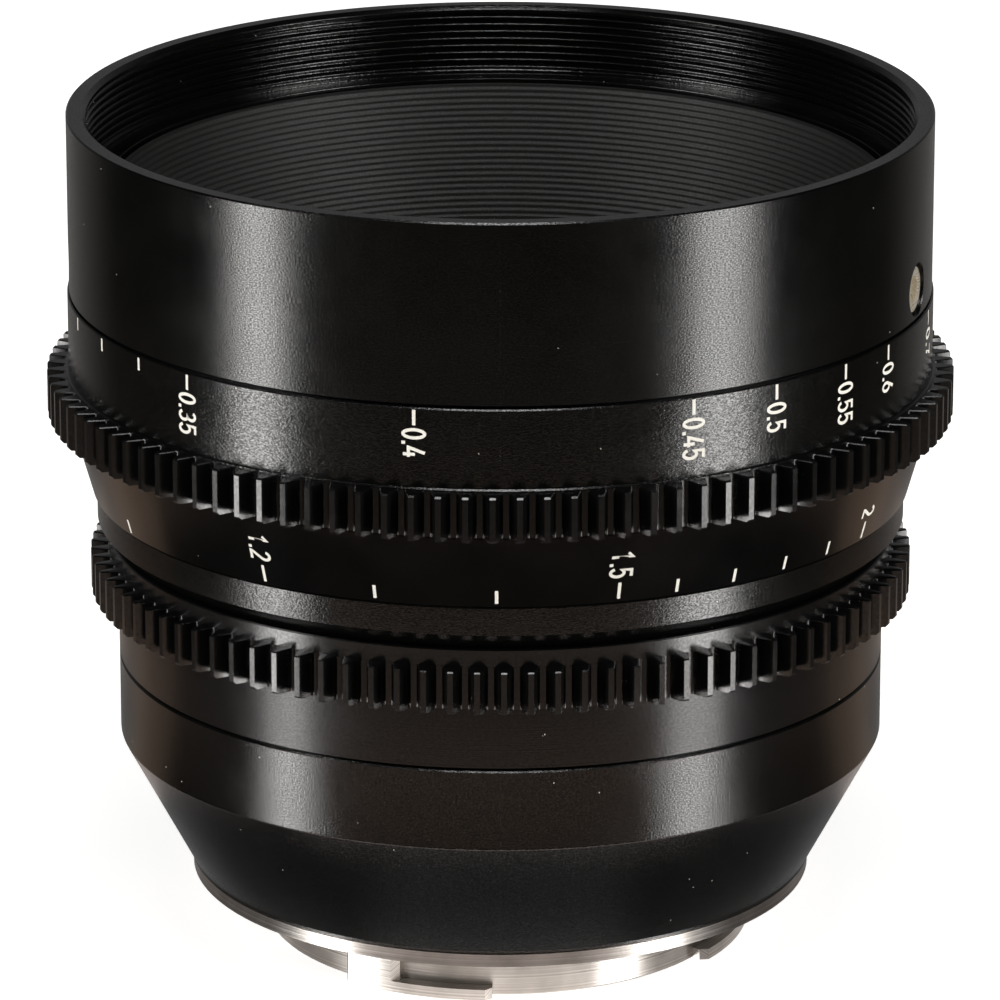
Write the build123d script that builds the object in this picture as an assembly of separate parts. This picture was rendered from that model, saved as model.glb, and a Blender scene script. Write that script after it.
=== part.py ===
from build123d import *
import math
import os

# A manual cinema prime lens, standing on its camera mount with the front up.
# The origin is the centre of the flange face, and +Z points out of the front.
# Turns are counted about Z from the side that faces -Y, towards +X, in degrees.

# Outside lengths, in the order they stack up from the flange face
flange_thickness = 1.25
shim_thickness = 0.25
rear_cone_height = 13.28
rear_cylinder_height = 8.02
sleeve_height = 6.1
iris_gear_width = 4.28
iris_neck_height = 1.7
iris_groove_height = 1.78
iris_band_height = 2.83
scale_cone_height = 7.49
focus_gear_width = 4.49
focus_band_height = 7.95
front_ring_height = 17.6

# Seams and fits
sleeve_seam = 0.3           # shadow line under the rear sleeve
ring_gap = 0.16              # below each turning ring, and above the iris ring
running_clearance = 0.05     # radial, between a turning or sliding piece and its guide
seat_clearance = 0.02        # radial, between pieces that are fixed together
screw_clearance = 0.1        # radial, round a screw shank
glass_clearance = 0.05       # radial, round a glass element
block_clearance = 0.9        # round the iris housing, inside the barrel
edge_break = 0.2             # chamfer on turned edges
overrun = 1.0                # how far a cut passes the face it opens

# Filter thread, and the walls inward from it
thread_diameter = 82.0
thread_pitch = 0.75
thread_depth_share = 0.613   # of the pitch
thread_groove_share = 0.55
thread_turns = 8
thread_zone = 7.2            # rim to ledge
rim_mouth = 0.6              # plain mouth above the first thread
rim_wall = 1.5
ledge_width = 2.5            # between the thread and the barrel's guide bore
carriage_wall = 2.45
cell_wall = 3.9
barrel_wall = 1.5            # of both bores of the main barrel
bore_step = 4.0              # from the guide bore in to the lower bore
barrel_web = 1.5             # floor between the two bores
front_socket_depth = 5.35    # how far the barrel reaches into the front ring
rear_socket_depth = 7.3     # how far it reaches into the rear housing

# Walls of the turning rings, outward from their bores
focus_wall = 2.61
focus_spigot_wall = 1.93     # under the focus gear
iris_core_wall = 1.93        # under the iris gear
iris_groove_step = 0.22
iris_band_step = 2.09
gear_web = 1.0               # under the tooth roots
scale_cone_wall = 0.46       # at the cone's lower edge
scale_cone_flare = 2.12
sleeve_wall = 2.08

# Drive gears, the standard pitch of follow-focus gears
gear_module = 0.8
focus_tooth_turn = -0.93
iris_tooth_turn = 0.5
tip_width_share = 0.22       # of the circular pitch
root_width_share = 0.8
dedendum_share = 1.25        # of the module
tooth_top_chamfer = 0.3
tooth_foot_chamfer = 0.25

# Scales and motion
top_turn = 172.0             # where both index lines stand, on top when mounted
focus_throw = 270.0
focus_travel = 5.45          # forward travel of the optical block over the throw
widest_mark_turn = -61.7
actuator_throw = 36.0

# Front ring screws
front_screw_spread = 100.4   # turn from the top to the screws on either side
front_screw_land = 0.3       # below the counterbore
front_screw_head_radius = 2.3
front_screw_head_sunk = 0.3
front_screw_head_height = 1.2
front_screw_shank_radius = 1.2
front_screw_reach = 0.3      # how far its tip stays out of the guide bore
counterbore_clearance = 0.2
hex_socket_radius = 1.3
hex_socket_depth = 0.7

# Thrust rings and stop screw
thrust_thickness = 0.3
thrust_margin = 0.06
thrust_width = 1.7
thrust_float = 0.05          # running gap under a thrust ring
iris_thrust_depth = 0.4
stop_screw_head_radius = 0.9
stop_screw_head_height = 1.0
stop_screw_shank_radius = 0.6
stop_screw_height_share = 0.42   # of the iris band
stop_groove_margin = 0.15
stop_end_margin = 2.0        # degrees past each end of the throw

# Focus ring's cam grooves and the rollers in them
groove_depth = 1.35
roller_radius = 0.85
roller_shank_radius = 0.7
roller_side_clearance = 0.05
roller_end_clearance = 0.15
roller_height = 2.54         # above the focus ring's lower edge, at infinity
roller_count = 3
bead_height = 0.1
bead_step = 0.3

# Optical block, front half
carriage_lift = 0.6          # above the barrel's web at infinity
carriage_web = 2.0
throat_step = 1.0            # from the third glass out to the carriage's throat
baffle_play = 0.4            # radial, between the baffle and the guide bore
baffle_height = 13.6
baffle_throat_width = 4.6    # how far the throat stands in from the baffle's outside
baffle_throat_height = 0.55
baffle_land = 0.3
baffle_spigot = 2.5
baffle_foot_gap = 0.08
rib_count = 22
rib_depth = 0.28
rib_shelf_share = 0.3
front_glass_rim = 3.2
front_glass_bulge = 3.84
front_glass_hollow = 1.92
front_spacer_height = 1.4
spacer_width = 1.4
second_glass_step = 5.0      # how much smaller in radius than the front element
second_glass_rim = 3.6
second_glass_bulge = 1.08
second_glass_hollow = 2.7
cell_foot = 0.8
cell_foot_lip = 1.4
glass_land = 1.5             # flat rim that each glass is held by
retainer_height = 1.2
retainer_width = 1.4
spanner_slot = 1.0

# Iris unit, inward from the barrel's lower bore and down from the carriage
iris_housing_wall = 1.4
pivot_margin = 3.2           # from the housing's bore to the pivots
blade_pivot_step = 2.0       # from a pivot to its blade's outer edge
blade_width = 9.1
blade_inset = 0.4            # between an open blade and the opening
smallest_opening = 1.15      # radius at the smallest stop
third_glass_lip = 3.0
third_glass_rim = 3.4
third_glass_bulge = 2.3
third_glass_hollow = 0.8
third_glass_gap = 0.2
iris_plate_thickness = 1.2
blade_count = 9
blade_thickness = 0.14
blade_pitch = 0.26           # height from one blade to the next
blade_start_turn = -6.0
blade_end_turn = 120.0
blade_tab_radius = 2.2
drive_tab_radius = 1.1
drive_arm = 3.0
pivot_pin_radius = 0.5
drive_pin_radius = 0.45
pin_clearance = 0.08
pivot_pin_depth = 0.8
blade_headroom = 0.38        # between the top blade and the plate
blade_footroom = 0.2
actuator_thickness = 1.05
actuator_width = 7.6
actuator_play = 0.1
cover_float = 0.05
iris_cover_thickness = 1.1

# Rear cell, up from its lower end
rear_margin = 1.6
rear_retainer_height = 1.4
rear_glass_step = 1.0        # how much smaller in radius than the fifth element
rear_glass_rim = 3.4
rear_glass_bulge = 0.9
rear_group_gap = 4.6
fifth_glass_step = 1.5       # from the iris opening out to the fifth element's rim
fifth_glass_rim = 4.6
fifth_glass_bulge = 1.6
rear_spacer_height = 2.0
fourth_glass_rim = 2.8
fourth_glass_hollow = 0.95
rear_top_margin = 0.6
rear_lip = 1.2
rear_cell_wall = 4.45
rear_flange_thickness = 1.2

# Mount
mount_tube_radius = 23.5
mount_tube_wall = 2.9
mount_tube_depth = 5.95
lug_step = 1.5
lug_height = 1.1
lug_end_chamfer = 0.7
lug_spans = ((-38.5, -1.9), (54.6, 104.0), (172.0, 226.0))
stop_block_turn = 14.5
flange_width = 7.5
flange_recess_width = 3.0
flange_recess_depth = 0.4
mount_spigot_step = 0.95
mount_spigot_height = 2.75
mount_screw_count = 6
mount_screw_inset = 2.25     # from the flange's edge
mount_screw_head_radius = 1.75
mount_screw_shank_radius = 0.95
mount_screw_length = 4.1
mount_screw_sunk = 0.05
mount_screw_cone = 0.85
cross_width = 0.4
cross_depth = 0.45
lock_hole_radius = 1.1
lock_hole_depth = 0.8
gate_thickness = 1.0
gate_ledge = 2.4
gate_seat = 0.3
gate_corner_margin = 2.3     # from the mount's bore to the window's corners
gate_height_share = 0.7      # of the window's width
gate_screw_inset = 1.2
gate_screw_head_radius = 0.9
gate_screw_head_height = 0.5
gate_screw_shank_radius = 0.5
gate_screw_length = 2.6

# Rear housing
tip_step = 0.2               # outside the flange
tip_wall = 3.2
housing_floor = 3.0
housing_blend = 0.5
housing_lip = 0.25
housing_ledge = 3.0
housing_screw_depth = 2.8
sleeve_lip_width = 1.4
shim_margin = 0.4

# Radii, from the filter thread inward
thread_radius = thread_diameter / 2
thread_crest = thread_radius - thread_pitch * thread_depth_share
front_radius = thread_radius + rim_wall
guide_radius = thread_radius - ledge_width
carriage_radius = guide_radius - running_clearance
cell_bore = carriage_radius - carriage_wall
cell_radius = cell_bore - glass_clearance
front_glass_bore = cell_radius - cell_wall + glass_clearance
front_glass_radius = front_glass_bore - glass_clearance
second_glass_radius = front_glass_radius - second_glass_step
baffle_top_radius = guide_radius - baffle_play
baffle_throat_radius = baffle_top_radius - baffle_throat_width

# Radii of the iris unit and the glass behind it
lower_bore_radius = guide_radius - bore_step
iris_housing_radius = lower_bore_radius - block_clearance
housing_bore = iris_housing_radius - iris_housing_wall
blade_pivot_radius = housing_bore - pivot_margin
blade_outer_radius = blade_pivot_radius - blade_pivot_step
blade_inner_radius = blade_outer_radius - blade_width
opening_radius = blade_inner_radius - blade_inset
third_glass_radius = opening_radius + third_glass_lip
carriage_throat = third_glass_radius + throat_step
fifth_glass_radius = opening_radius + fifth_glass_step
rear_glass_radius = fifth_glass_radius - rear_glass_step

# Radii, from the lower bore outward
lower_barrel_radius = lower_bore_radius + barrel_wall
iris_bore = lower_barrel_radius + running_clearance
iris_core_radius = iris_bore + iris_core_wall
iris_gear_bore = iris_core_radius + seat_clearance
iris_groove_radius = iris_core_radius + iris_groove_step
iris_band_radius = iris_core_radius + iris_band_step
barrel_radius = lower_barrel_radius + seat_clearance + sleeve_wall

# Radii, from the guide bore outward
upper_barrel_radius = guide_radius + barrel_wall
focus_bore = upper_barrel_radius + running_clearance
focus_band_radius = focus_bore + focus_wall
focus_spigot_radius = focus_bore + focus_spigot_wall
focus_gear_bore = focus_spigot_radius + seat_clearance
scale_cone_bore = upper_barrel_radius + seat_clearance
scale_cone_base_radius = scale_cone_bore + scale_cone_wall

# As many teeth as fit round the rings that carry the gears
focus_teeth = round(2 * (focus_gear_bore + gear_web) / gear_module + 2 * dedendum_share)
iris_teeth = round(2 * (iris_gear_bore + gear_web) / gear_module + 2 * dedendum_share)
iris_root = gear_module * (iris_teeth / 2 - dedendum_share)

# Radii of the mount
flange_radius = mount_tube_radius + flange_width
mount_bore = mount_tube_radius - mount_tube_wall
mount_spigot_radius = mount_tube_radius + mount_spigot_step
mount_screw_circle = flange_radius - mount_screw_inset
rear_tip_radius = flange_radius + tip_step
gate_screw_circle = mount_bore - gate_screw_inset
gate_width = 2 * (mount_bore - gate_corner_margin) / math.hypot(1, gate_height_share)
gate_height = gate_width * gate_height_share
front_screw_height = front_screw_land + counterbore_clearance + front_screw_head_radius

# Heights of the outside pieces
shim_top = flange_thickness + shim_thickness
rear_cone_top = shim_top + rear_cone_height
rear_housing_top = rear_cone_top + rear_cylinder_height
sleeve_base = rear_housing_top + sleeve_seam
sleeve_top = sleeve_base + sleeve_height
iris_base = sleeve_top + ring_gap
iris_gear_top = iris_base + iris_gear_width
neck_top = iris_gear_top + iris_neck_height
groove_top = neck_top + iris_groove_height
iris_top = groove_top + iris_band_height
cone_base = iris_top + ring_gap
cone_top = cone_base + scale_cone_height
focus_base = cone_top + ring_gap
focus_gear_top = focus_base + focus_gear_width
focus_top = focus_gear_top + focus_band_height
front_base = focus_top + thrust_float + thrust_thickness
front_top = front_base + front_ring_height
barrel_foot = rear_housing_top - rear_socket_depth
web_top = cone_base + barrel_web
barrel_top = front_base + front_socket_depth
ledge_height = front_top - thread_zone
stop_screw_z = groove_top + iris_band_height * stop_screw_height_share

# Heights of the optical block, up from the carriage
carriage_base = web_top + carriage_lift
cell_base = carriage_base + carriage_web
second_seat = cell_base + cell_foot
front_seat = second_seat + second_glass_rim + front_spacer_height
cell_top = front_seat + front_glass_rim + retainer_height
spigot_base = cell_top + baffle_foot_gap
carriage_top = spigot_base + baffle_spigot
baffle_top = carriage_top + baffle_height
roller_z = focus_base + roller_height
roller_tip = focus_bore + groove_depth - roller_end_clearance

# Heights of the optical block, down from the carriage
third_seat = carriage_base - third_glass_gap - third_glass_rim
plate_base = third_seat - iris_plate_thickness
top_blade = plate_base - blade_headroom - blade_thickness
first_blade = top_blade - blade_pitch * (blade_count - 1)
actuator_top = first_blade - blade_footroom
actuator_base = actuator_top - actuator_thickness
cover_top = actuator_base - cover_float
cover_base = cover_top - iris_cover_thickness
iris_housing_base = cover_base - rear_flange_thickness
fourth_seat = cover_base - rear_top_margin - rear_retainer_height - fourth_glass_rim
fifth_seat = fourth_seat - rear_spacer_height - fifth_glass_rim
rear_seat = fifth_seat - rear_group_gap - rear_glass_rim
rear_cell_base = rear_seat - rear_retainer_height - rear_margin

# Turns
iris_throw = top_turn - widest_mark_turn
blade_throw = 2 * math.degrees(
    math.asin((blade_inner_radius - smallest_opening) / (2 * blade_pivot_radius))
)


# Shared shapes


def turned(points):
    # a solid of revolution about Z, from (radius, height) points
    return revolve(Plane.XZ * make_face(Polyline(*points, close=True)), Axis.Z)


def tube(outer, inner, base, top):
    return turned([(inner, base), (outer, base), (outer, top), (inner, top)])


def arc_block(inner, outer, base, top, start, end):
    # part of a ring between two turns
    face = Plane.XZ * make_face(Polyline(
        (inner, base), (outer, base), (outer, top), (inner, top), close=True))
    return Rot(0, 0, start - 90) * revolve(face, Axis.Z, end - start)


def upright(radius, base, top, x, y):
    return Pos(x, y, base) * Cylinder(radius, top - base, align=on_foot)


def radial(radius, inner, outer, height, turn):
    # a round pin or hole that points out from the axis
    pin = Cylinder(radius, outer - inner, align=on_foot)
    return Rot(0, 0, turn) * Pos(0, -inner, height) * Rot(90, 0, 0) * pin


def spaced_turns(count, first):
    return [first + 360 * n / count for n in range(count)]


def around(radius, turn):
    a = math.radians(turn)
    return radius * math.sin(a), -radius * math.cos(a)


def dome(radius, rim_z, sag):
    # an arc from the axis to the rim whose middle stands off by the sag
    bend = (radius ** 2 + sag ** 2) / (2 * abs(sag))
    half = math.asin(radius / bend) / 2
    drop = math.copysign(bend * (1 - math.cos(half)), sag)
    middle = (bend * math.sin(half), rim_z + sag - drop)
    return ThreePointArc((0, rim_z + sag), middle, (radius, rim_z))


def glass(radius, base, rim, front_sag, rear_sag):
    # a round element with a flat rim; positive sags lift the middle of either face
    clear = radius - glass_land
    top = base + rim
    sides = [
        dome(clear, base, rear_sag), Line((clear, base), (radius, base)),
        Line((radius, base), (radius, top)), Line((radius, top), (clear, top)),
        dome(clear, top, front_sag), Line((0, top + front_sag), (0, base + rear_sag)),
    ]
    return revolve(Plane.XZ * make_face(sides), Axis.Z)


def gear_ring(teeth, bore, base, width, turn):
    # a straight-cut ring gear whose tooth ends are chamfered
    tip = gear_module * (teeth / 2 + 1)
    root = gear_module * (teeth / 2 - dedendum_share)
    step = 360 / teeth
    points = []
    for n in range(teeth):
        middle = turn + n * step
        for radius, share in ((root, -root_width_share), (tip, -tip_width_share),
                              (tip, tip_width_share), (root, root_width_share)):
            points.append(around(radius, middle + share * step / 2))
    blank = extrude(Pos(0, 0, base) * make_face(Polyline(*points, close=True)), width)
    top = base + width
    envelope = turned([
        (bore, base), (tip - tooth_foot_chamfer, base), (tip, base + tooth_foot_chamfer),
        (tip, top - tooth_top_chamfer), (tip - tooth_top_chamfer, top), (bore, top),
    ])
    return blank & envelope


def retaining_ring(outer, width, base, height):
    # a threaded ring with two spanner slots
    slot = Pos(0, 0, base + height) * Box(2 * outer + overrun, spanner_slot, height)
    return tube(outer, outer - width, base, base + height) - slot


# Fixed barrel pieces


def front_ring():
    socket = upper_barrel_radius + seat_clearance
    outline = [
        (socket, front_base), (front_radius - edge_break, front_base),
        (front_radius, front_base + edge_break), (front_radius, front_top - edge_break),
        (front_radius - edge_break, front_top), (thread_radius, front_top),
        (thread_crest, front_top - rim_mouth + edge_break),
    ]
    width = thread_pitch * thread_groove_share
    for n in range(thread_turns):
        z = front_top - rim_mouth - n * thread_pitch
        outline += [(thread_crest, z), (thread_radius, z - width / 2), (thread_crest, z - width)]
    outline += [
        (thread_crest, ledge_height), (guide_radius, ledge_height),
        (guide_radius, barrel_top), (socket, barrel_top),
    ]
    ring = turned(outline)
    z = front_base + front_screw_height
    head_seat = front_radius - front_screw_head_sunk - front_screw_head_height
    for turn in front_screw_turns:
        ring -= radial(front_screw_head_radius + counterbore_clearance, head_seat,
                       front_radius + overrun, z, turn)
        ring -= radial(front_screw_shank_radius + screw_clearance, guide_radius,
                       head_seat + overrun, z, turn)
    return ring


def front_ring_screws():
    z = front_base + front_screw_height
    head_out = front_radius - front_screw_head_sunk
    head_in = head_out - front_screw_head_height
    screws = []
    for turn in front_screw_turns:
        head = radial(front_screw_head_radius, head_in, head_out, z, turn)
        shank = radial(front_screw_shank_radius, guide_radius + front_screw_reach, head_in, z, turn)
        socket = extrude(RegularPolygon(hex_socket_radius, 6), hex_socket_depth + overrun)
        socket = Rot(0, 0, turn) * Pos(0, hex_socket_depth - head_out, z) * Rot(90, 0, 0) * socket
        screws.append(head + shank - socket)
    return screws


def main_barrel():
    barrel = turned([
        (lower_bore_radius, barrel_foot), (lower_barrel_radius, barrel_foot),
        (lower_barrel_radius, cone_base), (upper_barrel_radius, cone_base),
        (upper_barrel_radius, barrel_top), (guide_radius, barrel_top),
        (guide_radius, web_top), (lower_bore_radius, web_top),
    ])
    half_width = roller_radius + roller_side_clearance
    inner = guide_radius - overrun
    outer = upper_barrel_radius + overrun
    for turn in roller_turns:
        for z in (roller_z, roller_z + focus_travel):
            barrel -= radial(half_width, inner, outer, z, turn)
        slot = Box(2 * half_width, outer - inner, focus_travel)
        middle = Pos(0, -(inner + outer) / 2, roller_z + focus_travel / 2)
        barrel -= Rot(0, 0, turn) * middle * slot
    for turn in front_screw_turns:
        barrel -= radial(front_screw_shank_radius + seat_clearance, inner, outer,
                         front_base + front_screw_height, turn)
    return barrel - radial(stop_screw_shank_radius + seat_clearance, lower_bore_radius - overrun,
                           lower_barrel_radius + overrun, stop_screw_z, top_turn)


def aperture_scale_ring():
    return turned([
        (scale_cone_bore, cone_base), (scale_cone_base_radius - edge_break, cone_base),
        (scale_cone_base_radius, cone_base + edge_break),
        (scale_cone_base_radius + scale_cone_flare, cone_top), (scale_cone_bore, cone_top),
    ])


def focus_thrust_ring():
    inner = upper_barrel_radius + thrust_margin
    return tube(inner + thrust_width, inner, front_base - thrust_thickness, front_base)


def iris_thrust_ring():
    inner = lower_barrel_radius + thrust_margin
    return tube(inner + thrust_width, inner, iris_top - iris_thrust_depth + thrust_float, cone_base)


def iris_stop_screw():
    head = radial(stop_screw_head_radius, lower_barrel_radius,
                  lower_barrel_radius + stop_screw_head_height, stop_screw_z, top_turn)
    return head + radial(stop_screw_shank_radius, lower_bore_radius + screw_clearance,
                         lower_barrel_radius, stop_screw_z, top_turn)


def rear_sleeve():
    bore = lower_barrel_radius + seat_clearance
    return turned([
        (bore, rear_housing_top), (bore + sleeve_lip_width, rear_housing_top),
        (bore + sleeve_lip_width, sleeve_base), (barrel_radius - edge_break, sleeve_base),
        (barrel_radius, sleeve_base + edge_break), (barrel_radius, sleeve_top - edge_break),
        (barrel_radius - edge_break, sleeve_top), (bore, sleeve_top),
    ])


def rear_housing():
    socket = lower_barrel_radius + seat_clearance
    bore = mount_spigot_radius + running_clearance
    floor_top = shim_top + housing_floor
    outline = make_face(Polyline(
        (bore, shim_top), (rear_tip_radius, shim_top), (rear_tip_radius, shim_top + housing_lip),
        (barrel_radius, rear_cone_top), (barrel_radius, rear_housing_top - edge_break),
        (barrel_radius - edge_break, rear_housing_top), (socket, rear_housing_top),
        (socket, barrel_foot), (socket - housing_ledge, barrel_foot),
        (rear_tip_radius - tip_wall, floor_top), (bore, floor_top), close=True))
    corner = outline.vertices().sort_by_distance((barrel_radius, rear_cone_top, 0))[0]
    housing = revolve(Plane.XZ * fillet(corner, housing_blend), Axis.Z)
    for turn in mount_screw_turns:
        x, y = around(mount_screw_circle, turn)
        housing -= upright(mount_screw_shank_radius + seat_clearance, shim_top - overrun,
                           shim_top + housing_screw_depth, x, y)
    return housing


def shim_ring():
    ring = tube(flange_radius - shim_margin, mount_spigot_radius + running_clearance,
                flange_thickness, shim_top)
    for turn in mount_screw_turns:
        x, y = around(mount_screw_circle, turn)
        ring -= upright(mount_screw_shank_radius + screw_clearance, flange_thickness - overrun,
                        shim_top + overrun, x, y)
    return ring


def mount_plate():
    spigot_top = flange_thickness + mount_spigot_height
    recess = mount_tube_radius + flange_recess_width
    plate = turned([
        (mount_bore, -mount_tube_depth), (mount_tube_radius - edge_break, -mount_tube_depth),
        (mount_tube_radius, edge_break - mount_tube_depth), (mount_tube_radius, flange_recess_depth),
        (recess, flange_recess_depth), (recess, 0), (flange_radius, 0),
        (flange_radius, flange_thickness), (mount_spigot_radius, flange_thickness),
        (mount_spigot_radius, spigot_top), (mount_bore - gate_ledge, spigot_top),
        (mount_bore - gate_ledge, gate_seat), (mount_bore, gate_seat),
    ])
    for start, end in lug_spans:
        plate += lug(lug_height - mount_tube_depth, start, end)
    start = lug_spans[0][0]
    plate += lug(flange_recess_depth, start, start + stop_block_turn)
    for turn in mount_screw_turns:
        x, y = around(mount_screw_circle, turn)
        plate -= Pos(x, y, 0) * flat_head(seat_clearance)
        plate -= upright(mount_screw_head_radius + seat_clearance, -overrun, mount_screw_sunk, x, y)
        plate -= upright(mount_screw_shank_radius + screw_clearance, -overrun,
                         flange_thickness + overrun, x, y)
    for turn in gate_screw_turns:
        x, y = around(gate_screw_circle, turn)
        plate -= upright(gate_screw_shank_radius + seat_clearance, gate_seat - overrun,
                         gate_seat + gate_screw_length, x, y)
    x, y = around(mount_screw_circle, top_turn)
    return plate - upright(lock_hole_radius, -overrun, lock_hole_depth, x, y)


def lug(top, start, end):
    # a bayonet lug, or the stop block on the first one, with chamfered ends
    inner = mount_tube_radius - mount_tube_wall / 2
    block = arc_block(inner, mount_tube_radius + lug_step, -mount_tube_depth, top, start, end)
    corners = block.edges().filter_by(Axis.Z).sort_by(SortBy.DISTANCE)[-2:]
    return chamfer(corners, lug_end_chamfer)


def flat_head(grow):
    # the cone of a countersunk head, just inside the flange face
    cone = Cone(mount_screw_head_radius + grow, mount_screw_shank_radius + grow,
                mount_screw_cone, align=on_foot)
    return Pos(0, 0, mount_screw_sunk) * cone


def mount_screws():
    cross = Box(2 * mount_screw_shank_radius, cross_width, 2 * cross_depth)
    cross += Box(cross_width, 2 * mount_screw_shank_radius, 2 * cross_depth)
    screws = []
    for turn in mount_screw_turns:
        x, y = around(mount_screw_circle, turn)
        screw = Pos(x, y, 0) * flat_head(0)
        screw += upright(mount_screw_shank_radius, mount_screw_sunk + mount_screw_cone,
                         mount_screw_length, x, y)
        screws.append(screw - Pos(x, y, mount_screw_sunk) * Rot(0, 0, turn) * cross)
    return screws


def rear_baffle():
    base = gate_seat - gate_thickness
    disc = upright(mount_bore - seat_clearance, base, gate_seat, 0, 0)
    gate = Pos(0, 0, base) * Box(gate_width, gate_height, 2 * gate_thickness + overrun)
    disc -= Rot(0, 0, top_turn) * gate
    for turn in gate_screw_turns:
        x, y = around(gate_screw_circle, turn)
        disc -= upright(gate_screw_shank_radius + screw_clearance, base - overrun,
                        gate_seat + overrun, x, y)
    return disc


def rear_baffle_screws():
    base = gate_seat - gate_thickness
    screws = []
    for turn in gate_screw_turns:
        x, y = around(gate_screw_circle, turn)
        head = upright(gate_screw_head_radius, base - gate_screw_head_height, base, x, y)
        head -= Pos(x, y, base - gate_screw_head_height) * Rot(0, 0, turn) * Box(
            2 * gate_screw_head_radius, cross_width, gate_screw_head_height)
        tip = gate_seat + gate_screw_length - screw_clearance
        screws.append(head + upright(gate_screw_shank_radius, base, tip, x, y))
    return screws


# Focus ring


def focus_ring():
    bead_radius = focus_band_radius + bead_step
    ring = turned([
        (focus_bore, focus_base), (focus_spigot_radius, focus_base),
        (focus_spigot_radius, focus_gear_top), (bead_radius, focus_gear_top),
        (bead_radius, focus_gear_top + bead_height),
        (focus_band_radius, focus_gear_top + bead_height + bead_step),
        (focus_band_radius, focus_top - edge_break), (focus_band_radius - edge_break, focus_top),
        (focus_bore, focus_top),
    ])
    for turn in roller_turns:
        ring -= cam_groove(turn)
    return ring


def cam_groove(turn):
    # one of the helical grooves; it climbs against the turn of the ring
    half_width = roller_radius + roller_side_clearance
    depth = groove_depth + overrun
    inner = focus_bore - overrun
    outer = focus_bore + groove_depth
    path = Helix(pitch=focus_travel * 360 / focus_throw, height=focus_travel,
                 radius=inner + depth / 2, lefthand=True)
    across = Plane(origin=path @ 0, x_dir=(1, 0, 0), z_dir=path % 0)
    groove = sweep(across * Rectangle(depth, 2 * half_width), path=path, is_frenet=True)
    groove = Pos(0, 0, roller_z) * Rot(0, 0, turn - 90) * groove
    groove += radial(half_width, inner, outer, roller_z, turn)
    return groove + radial(half_width, inner, outer, roller_z + focus_travel, turn - focus_throw)


def focus_gear():
    return gear_ring(focus_teeth, focus_gear_bore, focus_base, focus_gear_width, focus_tooth_turn)


# Iris ring


def iris_ring():
    recess = lower_barrel_radius + thrust_margin + thrust_width + thrust_margin
    ring = turned([
        (iris_bore, iris_base), (iris_core_radius, iris_base), (iris_core_radius, neck_top),
        (iris_groove_radius, neck_top), (iris_band_radius, groove_top),
        (iris_band_radius, iris_top - edge_break), (iris_band_radius - edge_break, iris_top),
        (recess, iris_top), (recess, iris_top - iris_thrust_depth),
        (iris_bore, iris_top - iris_thrust_depth),
    ])
    half = stop_screw_head_radius + stop_groove_margin
    side = math.degrees(half / iris_bore) + stop_end_margin
    return ring - arc_block(iris_bore - overrun,
                            lower_barrel_radius + stop_screw_head_height + stop_groove_margin,
                            stop_screw_z - half, stop_screw_z + half,
                            top_turn - side, top_turn + iris_throw + side)


def iris_gear():
    gear = gear_ring(iris_teeth, iris_gear_bore, iris_base, iris_gear_width, iris_tooth_turn)
    return gear + turned([
        (iris_gear_bore, iris_gear_top), (iris_root, iris_gear_top),
        (iris_root, neck_top - edge_break), (iris_root - edge_break, neck_top),
        (iris_gear_bore, neck_top),
    ])


# Optical block


def lens_carriage():
    body = turned([
        (carriage_throat, carriage_base), (carriage_radius, carriage_base),
        (carriage_radius, carriage_top), (cell_bore, carriage_top),
        (cell_bore, cell_base), (carriage_throat, cell_base),
    ])
    for turn in roller_turns:
        body -= radial(roller_shank_radius + seat_clearance, cell_bore - overrun,
                       carriage_radius + overrun, roller_z, turn)
    return body


def focus_rollers():
    rollers = []
    for turn in roller_turns:
        shank = radial(roller_shank_radius, cell_bore + screw_clearance, guide_radius, roller_z, turn)
        rollers.append(shank + radial(roller_radius, guide_radius, roller_tip, roller_z, turn))
    return rollers


def front_baffle():
    # a stepped cone that keeps stray light off the glass
    mouth = baffle_top_radius - baffle_land
    rib_height = (baffle_top - carriage_top - baffle_throat_height) / rib_count
    rib_step = (mouth - baffle_throat_radius) / rib_count
    outline = [(baffle_top_radius, carriage_top), (baffle_top_radius, baffle_top), (mouth, baffle_top)]
    for n in range(rib_count):
        z = baffle_top - n * rib_height
        r = mouth - n * rib_step
        outline.append((r + rib_depth, z - rib_height * rib_shelf_share))
        outline.append((r - rib_step, z - rib_height))
    spigot = cell_bore - seat_clearance
    outline += [(baffle_throat_radius, spigot_base), (spigot, spigot_base), (spigot, carriage_top)]
    return turned(outline)


def front_cell():
    second_bore = second_glass_radius + glass_clearance
    foot_bore = second_glass_radius - cell_foot_lip
    return turned([
        (foot_bore, cell_base), (cell_radius, cell_base), (cell_radius, cell_top),
        (front_glass_bore, cell_top), (front_glass_bore, front_seat),
        (second_bore, front_seat), (second_bore, second_seat), (foot_bore, second_seat),
    ])


def front_retaining_ring():
    return retaining_ring(front_glass_radius, retainer_width, front_seat + front_glass_rim, retainer_height)


def front_element():
    return glass(front_glass_radius, front_seat, front_glass_rim, front_glass_bulge, front_glass_hollow)


def front_spacer():
    return tube(second_glass_radius, second_glass_radius - spacer_width,
                second_seat + second_glass_rim, front_seat)


def second_element():
    return glass(second_glass_radius, second_seat, second_glass_rim, second_glass_bulge, second_glass_hollow)


def third_element():
    return glass(third_glass_radius, third_seat, third_glass_rim, third_glass_bulge, third_glass_hollow)


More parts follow.
